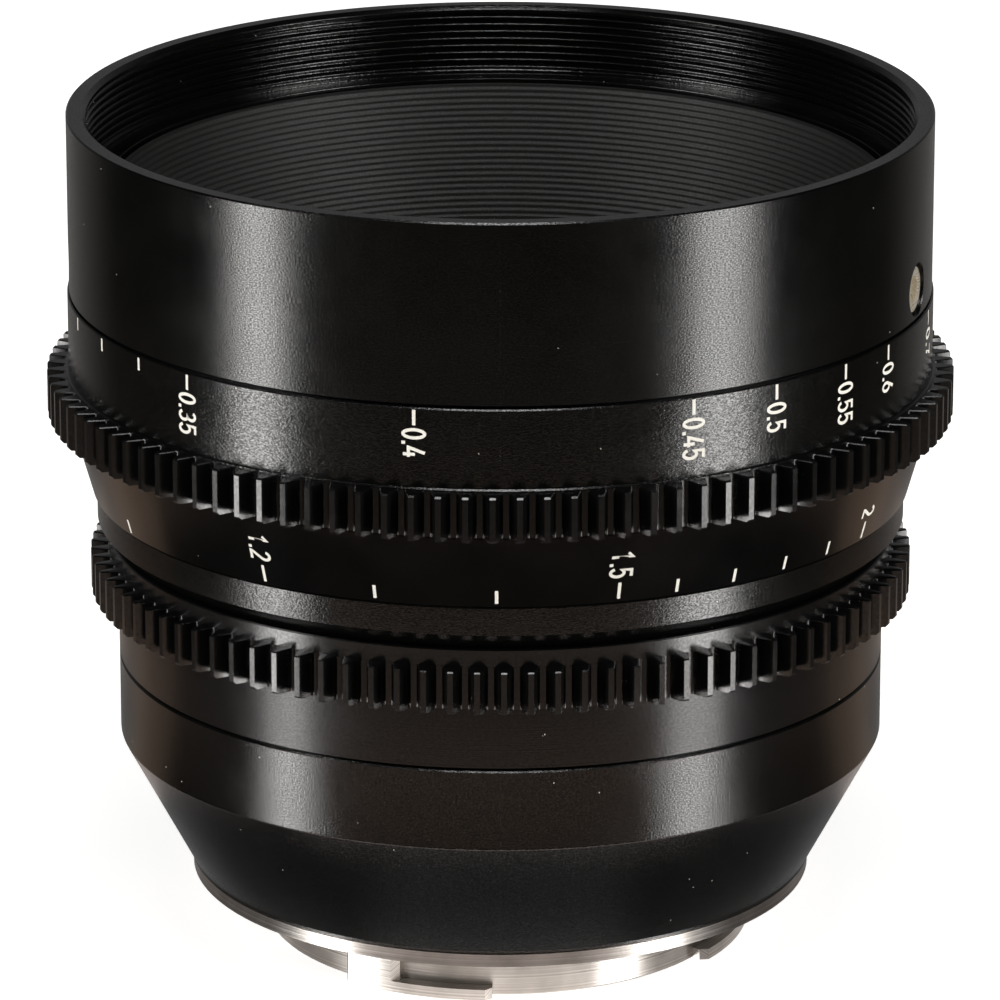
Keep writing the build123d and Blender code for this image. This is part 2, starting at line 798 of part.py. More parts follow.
def iris_housing():
    glass_bore = third_glass_radius + glass_clearance
    housing = turned([
        (housing_bore, iris_housing_base), (iris_housing_radius, iris_housing_base),
        (iris_housing_radius, carriage_base), (glass_bore, carriage_base), (glass_bore, third_seat),
        (opening_radius, third_seat), (opening_radius, plate_base), (housing_bore, plate_base),
    ])
    for turn in blade_turns:
        x, y = around(blade_pivot_radius, turn)
        housing -= upright(pivot_pin_radius + pin_clearance, plate_base - overrun,
                           plate_base + pivot_pin_depth + pin_clearance, x, y)
    return housing


def iris_cover():
    return tube(housing_bore - seat_clearance, opening_radius, cover_base, cover_top)


def drive_pin_place(opened):
    # a drive pin's radius, and its turn from its blade's pivot, at a share of the blade's throw
    turn = math.radians(blade_throw * (1 - opened))
    x = blade_pivot_radius + drive_arm * math.sin(turn)
    y = -drive_arm * math.cos(turn)
    return math.hypot(x, y), math.degrees(math.atan2(y, x))


def actuator_ring():
    outer = housing_bore - actuator_play
    ring = tube(outer, outer - actuator_width, actuator_base, actuator_top)
    half_width = drive_pin_radius + pin_clearance
    places = []
    for n in range(slot_points):
        opened = n / (slot_points - 1)
        radius, turn = drive_pin_place(opened)
        places.append((radius, turn + actuator_throw * opened))
    far = [around(r + half_width, t) for r, t in places]
    near = [around(r - half_width, t) for r, t in places]
    slot = make_face([Spline(*far), Line(far[-1], near[-1]), Spline(*reversed(near)), Line(near[0], far[0])])
    for radius, turn in (places[0], places[-1]):
        slot += Pos(*around(radius, turn)) * Circle(half_width)
    cutter = extrude(Pos(0, 0, actuator_base - overrun) * slot, actuator_thickness + 2 * overrun)
    for turn in blade_turns:
        ring -= Rot(0, 0, turn) * cutter
    return ring


def iris_blade(number):
    # drawn wide open with its pivot on +X, then turned about the pivot to the smallest stop
    sector = [(0, 0)]
    for n in range(fan_points):
        a = math.radians(blade_start_turn + (blade_end_turn - blade_start_turn) * n / (fan_points - 1))
        sector.append((2 * blade_outer_radius * math.cos(a), 2 * blade_outer_radius * math.sin(a)))
    shape = Circle(blade_outer_radius) - Circle(blade_inner_radius)
    shape = shape & make_face(Polyline(*sector, close=True))
    shape += Pos(blade_pivot_radius, 0) * Circle(blade_tab_radius)
    shape += Pos(blade_pivot_radius, -drive_arm) * Circle(drive_tab_radius)
    z = first_blade + number * blade_pitch
    blade = extrude(Pos(0, 0, z) * shape, blade_thickness)
    blade += upright(pivot_pin_radius, z, plate_base + pivot_pin_depth, blade_pivot_radius, 0)
    blade += upright(drive_pin_radius, actuator_base + pin_clearance, z + blade_thickness,
                     blade_pivot_radius, -drive_arm)
    pivot = Pos(blade_pivot_radius, 0, 0)
    closed = pivot * Rot(0, 0, blade_throw) * Pos(-blade_pivot_radius, 0, 0) * blade
    return Rot(0, 0, blade_turns[number] - 90) * closed


def rear_cell():
    rear_bore = rear_glass_radius + glass_clearance
    fifth_bore = fifth_glass_radius + glass_clearance
    radius = fifth_bore + rear_cell_wall
    return turned([
        (rear_bore, rear_cell_base), (radius, rear_cell_base), (radius, iris_housing_base),
        (housing_bore - seat_clearance, iris_housing_base), (housing_bore - seat_clearance, cover_base),
        (fifth_bore, cover_base), (fifth_bore, fifth_seat),
        (fifth_glass_radius - rear_lip, fifth_seat),
        (rear_glass_radius - rear_lip, rear_seat + rear_glass_rim), (rear_bore, rear_seat + rear_glass_rim),
    ])


def fifth_element():
    return glass(fifth_glass_radius, fifth_seat, fifth_glass_rim, fifth_glass_bulge, -fifth_glass_bulge)


def rear_spacer():
    return tube(fifth_glass_radius, fifth_glass_radius - rear_lip,
                fifth_seat + fifth_glass_rim, fourth_seat)


def fourth_element():
    return glass(fifth_glass_radius, fourth_seat, fourth_glass_rim,
                 -fourth_glass_hollow, fourth_glass_hollow)


def rear_group_ring():
    return retaining_ring(fifth_glass_radius, rear_lip, fourth_seat + fourth_glass_rim, rear_retainer_height)


def rear_element():
    return glass(rear_glass_radius, rear_seat, rear_glass_rim, rear_glass_bulge, -rear_glass_bulge)


def rear_retaining_ring():
    return retaining_ring(rear_glass_radius, rear_lip,
                          rear_seat - rear_retainer_height, rear_retainer_height)


# Places that repeat
on_foot = (Align.CENTER, Align.CENTER, Align.MIN)
front_screw_turns = [top_turn - front_screw_spread, top_turn, top_turn + front_screw_spread]
roller_turns = spaced_turns(roller_count, top_turn)
mount_screw_turns = spaced_turns(mount_screw_count, top_turn + 180 / mount_screw_count)
gate_screw_turns = [top_turn, top_turn + 180]
blade_turns = spaced_turns(blade_count, 0)
slot_points = 7
fan_points = 5

pieces = {
    "front_ring": front_ring, "front_ring_screws": front_ring_screws, "main_barrel": main_barrel,
    "aperture_scale_ring": aperture_scale_ring, "focus_thrust_ring": focus_thrust_ring,
    "iris_thrust_ring": iris_thrust_ring, "iris_stop_screw": iris_stop_screw,
    "rear_sleeve": rear_sleeve, "rear_housing": rear_housing, "shim_ring": shim_ring,
    "mount_plate": mount_plate, "mount_screws": mount_screws, "rear_baffle": rear_baffle,
    "rear_baffle_screws": rear_baffle_screws, "focus_ring": focus_ring, "focus_gear": focus_gear,
    "iris_ring": iris_ring, "iris_gear": iris_gear, "lens_carriage": lens_carriage,
    "focus_rollers": focus_rollers, "front_baffle": front_baffle, "front_cell": front_cell,
    "front_retaining_ring": front_retaining_ring, "front_element": front_element,
    "front_spacer": front_spacer, "second_element": second_element, "third_element": third_element,
    "iris_housing": iris_housing, "iris_cover": iris_cover, "actuator_ring": actuator_ring,
    "rear_cell": rear_cell, "fourth_element": fourth_element, "rear_spacer": rear_spacer,
    "fifth_element": fifth_element, "rear_group_ring": rear_group_ring,
    "rear_element": rear_element, "rear_retaining_ring": rear_retaining_ring,
}

os.makedirs("parts", exist_ok=True)
for name, make in pieces.items():
    solid = make()
    if isinstance(solid, list):
        solid = Compound(children=solid)
    export_step(solid, f"parts/{name}.step")
for number in range(blade_count):
    export_step(iris_blade(number), f"parts/iris_blade_{number + 1}.step")
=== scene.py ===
import bpy
import math
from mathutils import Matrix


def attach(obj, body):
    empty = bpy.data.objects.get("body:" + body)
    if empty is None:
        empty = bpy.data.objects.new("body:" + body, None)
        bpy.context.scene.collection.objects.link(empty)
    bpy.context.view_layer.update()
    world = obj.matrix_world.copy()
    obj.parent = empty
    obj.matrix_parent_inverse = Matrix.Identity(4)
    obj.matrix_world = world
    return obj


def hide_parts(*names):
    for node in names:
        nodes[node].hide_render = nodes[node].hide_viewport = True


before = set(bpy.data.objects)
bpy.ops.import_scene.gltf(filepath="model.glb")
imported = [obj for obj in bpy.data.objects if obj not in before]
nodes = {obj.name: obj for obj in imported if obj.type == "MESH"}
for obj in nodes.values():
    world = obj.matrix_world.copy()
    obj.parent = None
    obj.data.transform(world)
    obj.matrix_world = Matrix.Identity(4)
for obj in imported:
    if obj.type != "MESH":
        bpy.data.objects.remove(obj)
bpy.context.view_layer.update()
mm = 0.001
sharpAngle = 34
plugSides = 48
print("frame loaded:", len(nodes), "CAD nodes")


def linear(hexColor):
    # sRGB hex to the linear colour that Blender's sockets take
    parts = [int(hexColor[i:i + 2], 16) / 255 for i in (1, 3, 5)]
    return [c / 12.92 if c <= 0.04045 else ((c + 0.055) / 1.055) ** 2.4 for c in parts] + [1.0]


def addNode(tree, kind, inputs=None, **settings):
    node = tree.nodes.new(kind)
    for key, value in settings.items():
        setattr(node, key, value)
    for key, value in (inputs or {}).items():
        if isinstance(value, bpy.types.NodeSocket):
            tree.links.new(value, node.inputs[key])
        else:
            node.inputs[key].default_value = value
    return node


def place(name, mesh, body, material, replaced=()):
    # puts a mesh in the scene, riding on its body and standing for its CAD nodes
    piece = bpy.data.objects.new(name, mesh)
    bpy.context.scene.collection.objects.link(piece)
    mesh.materials.clear()
    for one in material if isinstance(material, (list, tuple)) else [material]:
        mesh.materials.append(one)
    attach(piece, body)
    if replaced:
        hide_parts(*replaced)
    return piece


def makeMesh(name, points, faces, sharpFrom=sharpAngle):
    # points in mm; smooth shading that breaks at corners sharper than sharpFrom degrees
    mesh = bpy.data.meshes.new(name)
    mesh.from_pydata([(x * mm, y * mm, z * mm) for x, y, z in points], [], faces)
    mesh.validate()
    mesh.polygons.foreach_set("use_smooth", [True] * len(mesh.polygons))
    mesh.set_sharp_from_angle(angle=math.radians(sharpFrom))
    mesh.update()
    return mesh


def evenNormals(piece):
    # keeps the broad faces flat and lets the small roundings carry the highlight
    mod = piece.modifiers.new("even normals", "WEIGHTED_NORMAL")
    mod.keep_sharp = True
    mod.weight = 80


def onTurn(radius, turn, z=0.0):
    # turns count from the side that faces the camera (-Y) towards +X, as in the CAD
    a = math.radians(turn)
    return (radius * math.sin(a), -radius * math.cos(a), z)


def roundedProfile(points, steps=3):
    # (radius, height) or (radius, height, rounding) in mm, closed; returns the outline with its corners rounded;
    # a rounding below zero is a flat chamfer that goes so far back along each side
    outline = []
    count = len(points)
    for i, corner in enumerate(points):
        r, z = corner[:2]
        size = corner[2] if len(corner) > 2 else 0
        if not size:
            outline.append((r, z))
            continue
        before, after = points[i - 1], points[(i + 1) % count]
        sides = []
        for other in (before, after):
            dr, dz = other[0] - r, other[1] - z
            length = math.hypot(dr, dz)
            sides.append((dr / length, dz / length, length))
        turn = math.acos(max(-1, min(1, sides[0][0] * sides[1][0] + sides[0][1] * sides[1][1])))
        flat = size < 0
        wanted = -size if flat else size / math.tan(turn / 2)
        back = min(wanted, 0.49 * sides[0][2], 0.49 * sides[1][2])
        start = (r + sides[0][0] * back, z + sides[0][1] * back)
        end = (r + sides[1][0] * back, z + sides[1][1] * back)
        for n in range(2 if flat else steps + 1):
            t = n if flat else n / steps
            a, b, c = (1 - t) ** 2, 2 * t * (1 - t), t * t
            outline.append((a * start[0] + b * r + c * end[0], a * start[1] + b * z + c * end[1]))
    return outline


def latheMesh(name, profile, segments=360, shape=None):
    # turns a closed (radius, height) outline about Z; shape(radius, height, turn) may move the radius
    points, faces = [], []
    count = len(profile)
    for s in range(segments):
        turn = 360 * s / segments
        for r, z in profile:
            points.append(onTurn(shape(r, z, turn) if shape else r, turn, z))
    for s in range(segments):
        t = (s + 1) % segments
        for i in range(count):
            j = (i + 1) % count
            faces.append((s * count + i, t * count + i, t * count + j, s * count + j))
    return makeMesh(name, points, faces)


def cutWith(piece, cutters):
    # takes the cutters out of the piece and throws them away
    for cutter in cutters:
        mod = piece.modifiers.new("cut", "BOOLEAN")
        mod.operation = "DIFFERENCE"
        mod.solver = "EXACT"
        mod.object = cutter
    bpy.context.view_layer.update()
    graph = bpy.context.evaluated_depsgraph_get()
    cut = bpy.data.meshes.new_from_object(piece.evaluated_get(graph))
    piece.modifiers.clear()
    old = piece.data
    piece.data = cut
    cut.name = old.name
    for cutter in cutters:
        bpy.data.objects.remove(cutter)
    cut.polygons.foreach_set("use_smooth", [True] * len(cut.polygons))
    cut.set_sharp_from_angle(angle=math.radians(sharpAngle))
    return piece


def addPlug(points, faces, outline, turn, height):
    # a plug whose axis points out from the lens; outline is (radius at an angle, distance from the lens axis)
    a = math.radians(turn)
    out, side = (math.sin(a), -math.cos(a)), (math.cos(a), math.sin(a))
    start = len(points)
    for radiusAt, away in outline:
        for n in range(plugSides):
            b = 2 * math.pi * n / plugSides
            radius = radiusAt(b)
            u, v = radius * math.cos(b), radius * math.sin(b)
            points.append((out[0] * away + side[0] * u, out[1] * away + side[1] * u, height + v))
    for k in range(len(outline) - 1):
        i, j = start + k * plugSides, start + (k + 1) * plugSides
        for n in range(plugSides):
            m = (n + 1) % plugSides
            faces.append((i + n, i + m, j + m, j + n))
    last = start + (len(outline) - 1) * plugSides
    faces.append(tuple(start + n for n in reversed(range(plugSides))))
    faces.append(tuple(last + n for n in range(plugSides)))


def newMaterial(name):
    material = bpy.data.materials.new(name)
    material.use_nodes = True
    tree = material.node_tree
    tree.nodes.clear()
    shader = addNode(tree, "ShaderNodeBsdfPrincipled")
    addNode(tree, "ShaderNodeOutputMaterial", {"Surface": shader.outputs["BSDF"]})
    return material, tree, shader


def linkAll(tree, shader, sources):
    for socket, source in sources.items():
        tree.links.new(source, shader.inputs[socket])


def grainField(tree, size, detail=2.0):
    # cloudy grain of a real size in mm, in the piece's own coordinates
    where = addNode(tree, "ShaderNodeTexCoord")
    return addNode(tree, "ShaderNodeTexNoise", {
        "Vector": where.outputs["Object"], "Scale": 1 / (size * mm), "Detail": detail, "Roughness": 0.55})


def axialFields(tree):
    # the piece's own coordinates, and the distance from the lens axis
    where = addNode(tree, "ShaderNodeTexCoord")
    axes = addNode(tree, "ShaderNodeSeparateXYZ", {"Vector": where.outputs["Object"]})
    level = addNode(tree, "ShaderNodeVectorMath", {0: where.outputs["Object"], 1: (1, 1, 0)}, operation="MULTIPLY")
    radius = addNode(tree, "ShaderNodeVectorMath", {0: level.outputs["Vector"]}, operation="LENGTH")
    return axes, radius


# the grain of the outer rings has its true width at this radius
grainRadius = 42


def fineGrain(tree, size, stretch):
    # grain laid out round the axis, drawn out along the ring by the turning before the finish
    axes, radius = axialFields(tree)
    angle = addNode(tree, "ShaderNodeMath", {0: axes.outputs["X"], 1: axes.outputs["Y"]}, operation="ARCTAN2")
    along = addNode(tree, "ShaderNodeMath", {
        0: angle.outputs["Value"], 1: grainRadius * mm / stretch}, operation="MULTIPLY")
    spot = addNode(tree, "ShaderNodeCombineXYZ", {
        "X": along.outputs["Value"], "Y": radius.outputs["Value"], "Z": axes.outputs["Z"]})
    return addNode(tree, "ShaderNodeTexNoise", {
        "Vector": spot.outputs["Vector"], "Scale": 1 / (size * mm), "Detail": 1.0, "Roughness": 0.5})


def turnedField(tree, spacing):
    # rings left by a lathe tool: a pattern along radius and height, the same all the way round
    axes, radius = axialFields(tree)
    along = addNode(tree, "ShaderNodeMath", {0: radius.outputs["Value"], 1: axes.outputs["Z"]}, operation="ADD")
    return addNode(tree, "ShaderNodeTexNoise", {
        "W": along.outputs["Value"], "Scale": 1 / (spacing * mm), "Detail": 1.5}, noise_dimensions="1D")


# noise seldom leaves this range, which is drawn out to the range that the finish takes
noiseRange = {"From Min": 0.3, "From Max": 0.7}


dust = {"color": "#b5b0a6", "bareCells": 0.6}


def dustMask(tree, cell, size):
    # a few specks of dust, each far smaller than its cell (both in mm); most cells stay bare
    where = addNode(tree, "ShaderNodeTexCoord")
    dots = addNode(tree, "ShaderNodeTexVoronoi", {
        "Vector": where.outputs["Object"], "Scale": 1 / (cell * mm), "Randomness": 1.0})
    near = addNode(tree, "ShaderNodeMath", {0: dots.outputs["Distance"], 1: size / cell}, operation="LESS_THAN")
    pick = addNode(tree, "ShaderNodeSeparateColor", {"Color": dots.outputs["Color"]})
    rare = addNode(tree, "ShaderNodeMath", {0: pick.outputs["Red"], 1: dust["bareCells"]}, operation="GREATER_THAN")
    both = addNode(tree, "ShaderNodeMath", {0: near.outputs["Value"], 1: rare.outputs["Value"]}, operation="MULTIPLY")
    return both.outputs["Value"]


def anodised(name, look):
    # black dye under a clear hard oxide: the body is nearly black and the shine comes from the oxide's surface
    material, tree, shader = newMaterial(name)
    cloud = grainField(tree, look["cloud"], 3.0)
    grain = fineGrain(tree, look["grain"], look.get("stretch", 1.0))
    body = addNode(tree, "ShaderNodeMix", {
        "Factor": cloud.outputs["Fac"], "A": linear(look["dark"]), "B": linear(look["light"])}, data_type="RGBA")
    specks = dustMask(tree, look["dustCell"], look["dustSize"])
    dusty = addNode(tree, "ShaderNodeMix", {
        "Factor": specks, "A": body.outputs["Result"], "B": linear(dust["color"])}, data_type="RGBA")
    height = grain.outputs["Fac"]
    if look.get("rings"):
        rings = turnedField(tree, look["rings"])
        height = addNode(tree, "ShaderNodeMath", {
            0: rings.outputs["Fac"], 1: look["ringDepth"], 2: height}, operation="MULTIPLY_ADD").outputs["Value"]
    bump = addNode(tree, "ShaderNodeBump", {"Height": height, "Distance": look["relief"] * mm, "Strength": 1.0})
    rough = addNode(tree, "ShaderNodeMapRange", {
        "Value": cloud.outputs["Fac"], **noiseRange,
        "To Min": look["roughness"] - 0.03, "To Max": look["roughness"] + 0.03})
    # pits shade themselves, so the shine is weaker in them
    shine = addNode(tree, "ShaderNodeMapRange", {
        "Value": grain.outputs["Fac"], **noiseRange, "To Min": 0.5 - look["pits"], "To Max": 0.5 + look["pits"]})
    linkAll(tree, shader, {
        "Base Color": dusty.outputs["Result"], "Roughness": rough.outputs["Result"],
        "Specular IOR Level": shine.outputs["Result"], "Normal": bump.outputs["Normal"]})
    shader.inputs["IOR"].default_value = look["ior"]
    return material


# bead-blasted black anodised aluminium: tiny pits, a broad soft shine; the pits are about 0.1 mm across
blastedLook = {"dark": "#030303", "light": "#070706", "grain": 0.1, "stretch": 2.2, "cloud": 7.0, "relief": 0.02,
               "pits": 0.3, "roughness": 0.18, "ior": 1.55, "dustCell": 1.9, "dustSize": 0.07}
# black anodised aluminium left as turned: closer shine with faint rings from the tool
satinLook = {"dark": "#040405", "light": "#080809", "grain": 0.14, "stretch": 2.2, "cloud": 9.0, "relief": 0.006,
             "pits": 0.12, "rings": 0.16, "ringDepth": 1.0, "roughness": 0.23, "ior": 1.45,
             "dustCell": 2.4, "dustSize": 0.07}
# the scale cone: fine-turned and anodised, smoother than the blasted rings
coneLook = {"dark": "#030303", "light": "#060606", "grain": 0.22, "cloud": 8.0, "relief": 0.004, "pits": 0.08,
            "roughness": 0.17, "ior": 1.5, "dustCell": 3.6, "dustSize": 0.06}
# hard anodised gear teeth, milled and bright: small sharp highlights
gearLook = {"dark": "#040404", "light": "#080808", "grain": 0.3, "cloud": 4.0, "relief": 0.002, "pits": 0.1,
            "roughness": 0.2, "ior": 1.6, "dustCell": 2.4, "dustSize": 0.05}
# deep matt black inside the hood and on the cells, to keep stray light down
innerLook = {"dark": "#0f0f0f", "light": "#151514", "grain": 0.2, "cloud": 6.0, "relief": 0.02, "pits": 0.1,
             "roughness": 0.55, "ior": 1.5, "dustCell": 4.0, "dustSize": 0.05}
# the cut thread: the same black, rougher in the grooves, so hardly any shine
threadLook = {"dark": "#070706", "light": "#0b0b0a", "grain": 0.2, "cloud": 6.0, "relief": 0.01, "pits": 0.1,
              "roughness": 0.6, "ior": 1.4, "dustCell": 5.0, "dustSize": 0.05}

blasted = anodised("bead-blasted black anodised aluminium", blastedLook)
satin = anodised("turned black anodised aluminium", satinLook)
coneBlack = anodised("fine-turned black anodised aluminium", coneLook)
gearBlack = anodised("hard anodised milled aluminium", gearLook)
innerBlack = anodised("matt black anodised aluminium", innerLook)
threadBlack = anodised("black anodised thread", threadLook)


def turnedMetal(name, look):
    # bare metal from the lathe: rings round the axis, slight uneven tone
    material, tree, shader = newMaterial(name)
    rings = turnedField(tree, look["rings"])
    cloud = grainField(tree, look["cloud"], 3.0)
    streak = addNode(tree, "ShaderNodeMath", {
        0: rings.outputs["Fac"], 1: cloud.outputs["Fac"], 2: 0.4}, operation="MULTIPLY_ADD")
    streaks = addNode(tree, "ShaderNodeMapRange", {
        "Value": streak.outputs["Value"], "From Min": 0.5, "From Max": 0.8, "To Min": 0.0, "To Max": 1.0})
    tone = addNode(tree, "ShaderNodeMix", {
        "Factor": streaks.outputs["Result"], "A": linear(look["dark"]), "B": linear(look["light"])}, data_type="RGBA")
    bump = addNode(tree, "ShaderNodeBump", {
        "Height": rings.outputs["Fac"], "Distance": look["relief"] * mm, "Strength": 1.0})
    rough = addNode(tree, "ShaderNodeMapRange", {
        "Value": rings.outputs["Fac"], **noiseRange,
        "To Min": look["roughness"] - 0.05, "To Max": look["roughness"] + 0.07})
    linkAll(tree, shader, {
        "Base Color": tone.outputs["Result"], "Roughness": rough.outputs["Result"],
        "Normal": bump.outputs["Normal"]})
    shader.inputs["Metallic"].default_value = look.get("metal", 1.0)
    if look.get("across"):
        # the rings run round the axis, so the shine spreads up and down and stays narrow sideways
        along = addNode(tree, "ShaderNodeTangent", direction_type="RADIAL", axis="Z")
        tree.links.new(along.outputs["Tangent"], shader.inputs["Tangent"])
        shader.inputs["Anisotropic"].default_value = look["across"]
        shader.inputs["Anisotropic Rotation"].default_value = 0.25
    return material


# stainless steel mount, turned and lightly polished; the tool's rings are drawn 0.16 mm apart, coarser than real ones
steelLook = {"dark": "#9c9792", "light": "#dcd8d3", "rings": 0.16, "cloud": 5.0, "relief": 0.0012, "roughness": 0.34,
             "across": 0.8}
# nickel-plated steel screws, slightly warm; the plating is satin, so part of it scatters like paint
nickelLook = {"dark": "#c9bfa9", "light": "#e6dfd0", "rings": 0.1, "cloud": 1.5, "relief": 0.001, "roughness": 0.3,
              "metal": 0.7}
# blackened steel of the small screws and the iris leaves: dark metal with a dull shine
darkSteelLook = {"dark": "#232325", "light": "#303033", "rings": 0.2, "cloud": 2.0, "relief": 0.001, "roughness": 0.38}
# brass of the cam rollers and the iris actuator
brassLook = {"dark": "#b08d3e", "light": "#c9a653", "rings": 0.12, "cloud": 3.0, "relief": 0.002, "roughness": 0.26}

steel = turnedMetal("turned stainless steel", steelLook)
nickel = turnedMetal("nickel-plated steel", nickelLook)
darkSteel = turnedMetal("blackened spring steel", darkSteelLook)
brass = turnedMetal("turned brass", brassLook)


def moulded(name, look):
    # plain moulded or printed matter: soft grain, uneven gloss
    material, tree, shader = newMaterial(name)
    grain = grainField(tree, look["grain"])
    tone = addNode(tree, "ShaderNodeMix", {
        "Factor": grain.outputs["Fac"], "A": linear(look["dark"]), "B": linear(look["light"])}, data_type="RGBA")
    bump = addNode(tree, "ShaderNodeBump", {
        "Height": grain.outputs["Fac"], "Distance": look["relief"] * mm, "Strength": 1.0})
    rough = addNode(tree, "ShaderNodeMapRange", {
        "Value": grain.outputs["Fac"], **noiseRange,
        "To Min": look["roughness"] - 0.05, "To Max": look["roughness"] + 0.05})
    linkAll(tree, shader, {
        "Base Color": tone.outputs["Result"], "Roughness": rough.outputs["Result"],
        "Normal": bump.outputs["Normal"]})
    shader.inputs["IOR"].default_value = look["ior"]
    return material


# black acetal thrust rings: waxy, hardly seen in the seams between the rings
acetalLook = {"dark": "#121213", "light": "#1a1a1b", "grain": 0.6, "relief": 0.004, "roughness": 0.35, "ior": 1.48}
# warm white epoxy ink laid into the laser-cut marks: matt, a little uneven
inkLook = {"dark": "#dcd8cd", "light": "#f1eee5", "grain": 0.15, "relief": 0.006, "roughness": 0.5, "ior": 1.5}

acetal = moulded("acetal", acetalLook)
ink = moulded("white engraving ink", inkLook)


def coatedGlass(name, look):
    # crown glass with a thin anti-reflection film, which leaves a faint coloured shine
    material, tree, shader = newMaterial(name)
    smear = grainField(tree, look["smear"])
    rough = addNode(tree, "ShaderNodeMapRange", {
        "Value": smear.outputs["Fac"], **noiseRange, "To Min": 0.0, "To Max": look["roughness"]})
    tree.links.new(rough.outputs["Result"], shader.inputs["Roughness"])
    for socket, value in (("Base Color", linear(look["tint"])), ("Transmission Weight", 1.0), ("IOR", look["ior"]),
                          ("Thin Film Thickness", look["film"]), ("Thin Film IOR", look["filmIor"])):
        shader.inputs[socket].default_value = value
    return material


glassLook = {"tint": "#fbfdfb", "ior": 1.62, "film": 240.0, "filmIor": 1.38, "smear": 6.0, "roughness": 0.02}
glass = coatedGlass("coated optical glass", glassLook)
print("materials made:", len(bpy.data.materials))


# front ring, with its filter thread and three counterbores
frontRing = {"outer": 42.5, "top": 78.15, "base": 60.55, "threadRoot": 41.0, "threadCrest": 40.54, "pitch": 0.75,
             "threadTop": 77.45, "threadEnd": 71.3, "ledge": 70.95, "guide": 38.5, "socket": 40.02,
             "socketTop": 65.9, "edge": 0.16, "screwHeight": 63.35, "screwTurns": (71.6, 172.0, 272.4),
             "boreRadius": 2.5, "seat": 41.0, "threadRows": 150, "leadIn": 0.4, "threadFade": (0.4, 0.3),
             "counterbore": ((0.0, -0.28), (0.12, -0.1), (0.5, 0.5))}


def threadRadius(r, z, turn):
    # the helical groove of the filter thread, faded out at both ends
    d = frontRing
    if not (d["threadEnd"] <= z <= d["threadTop"] and r < d["threadRoot"] - 0.1):
        return r
    groove = 0.5 - 0.5 * math.cos(2 * math.pi * ((z - d["threadEnd"]) / d["pitch"] - turn / 360))
    low, high = d["threadFade"]
    fade = min(1.0, (z - d["threadEnd"]) / low, (d["threadTop"] - z) / high)
    return d["threadCrest"] + (d["threadRoot"] - d["threadCrest"]) * groove * max(0.0, fade)


def makeFrontRing():
    d = frontRing
    rows = d["threadRows"]
    thread = [(d["threadCrest"], d["threadTop"] + (d["threadEnd"] - d["threadTop"]) * n / rows)
              for n in range(rows + 1)]
    shell = roundedProfile([
        (d["socket"], d["base"], 0.05), (d["outer"], d["base"]), (d["outer"], d["top"], -d["edge"]),
        (d["threadRoot"], d["top"], 0.08), (d["threadCrest"], d["top"] - d["leadIn"], 0.06)])
    lower = roundedProfile([
        (d["threadCrest"], d["threadEnd"] - 0.05), (d["threadCrest"], d["ledge"], 0.06),
        (d["guide"], d["ledge"], 0.1), (d["guide"], d["socketTop"], 0.05),
        (d["socket"], d["socketTop"], 0.05), (d["socket"], d["socketTop"] - 0.3)])
    mesh = latheMesh("front ring", shell + thread + lower, shape=threadRadius)
    for face in mesh.polygons:
        inside = math.hypot(face.center.x, face.center.y) < (d["threadRoot"] + 0.01) * mm
        face.material_index = 1 if inside and face.center.z > d["ledge"] * mm else 0
    ring = place("front_ring_body", mesh, "barrel", [blasted, threadBlack], ["front_ring"])
    outline = [(lambda angle: d["boreRadius"], d["seat"])]
    for wider, out in d["counterbore"]:
        outline.append((lambda angle, wider=wider: d["boreRadius"] + wider, d["outer"] + out))
    cutters = []
    for turn in d["screwTurns"]:
        points, faces = [], []
        addPlug(points, faces, outline, turn, d["screwHeight"])
        cutters.append(bpy.data.objects.new("cutter", makeMesh("cutter", points, faces)))
        bpy.context.scene.collection.objects.link(cutters[-1])
    evenNormals(cutWith(ring, cutters))


makeFrontRing()


# socket screws sunk into the ring
socketScrew = {"headRadius": 2.3, "headOut": 42.2, "headIn": 41.0, "shankRadius": 1.2, "shankIn": 38.8,
               "hexRadius": 1.42, "hexTurn": 14.0, "edge": 0.22,
               # the socket: (share of the hexagon, depth below the head)
               "socket": ((1.12, 0.0), (1.0, 0.09), (1.0, 0.9), (0.45, 1.15))}


def makeSocketScrews():
    d = socketScrew

    def hexagon(share):
        # distance from the middle to the hexagon's wall
        flat = math.pi / 3
        across = d["hexRadius"] * math.cos(flat / 2) * share
        return lambda angle: across / math.cos((angle - math.radians(d["hexTurn"])) % flat - flat / 2)

    outline = [(lambda angle, radius=radius: radius, away) for radius, away in (
        (d["shankRadius"], d["shankIn"]), (d["shankRadius"], d["headIn"]), (d["headRadius"], d["headIn"]),
        (d["headRadius"], d["headOut"] - d["edge"]),
        (d["headRadius"] - d["edge"] * 0.3, d["headOut"] - d["edge"] * 0.3),
        (d["headRadius"] - d["edge"], d["headOut"]))]
    outline += [(hexagon(share), d["headOut"] - depth) for share, depth in d["socket"]]
    points, faces = [], []
    for turn in frontRing["screwTurns"]:
        addPlug(points, faces, outline, turn, frontRing["screwHeight"])
    mesh = makeMesh("socket screws", points, faces)
    place("front_ring_screw_set", mesh, "barrel", nickel, ["front_ring_screws"])


makeSocketScrews()
print("front ring and screws made")


# ribbed baffle inside the hood
baffle = {"top": 70.59, "foot": 56.99, "mouth": 37.8, "outer": 38.1, "throat": 33.5, "throatHeight": 0.55,
          "ribs": 22, "ribDepth": 0.09, "pointsPerRib": 8, "spigotBase": 54.49, "spigot": 35.98}


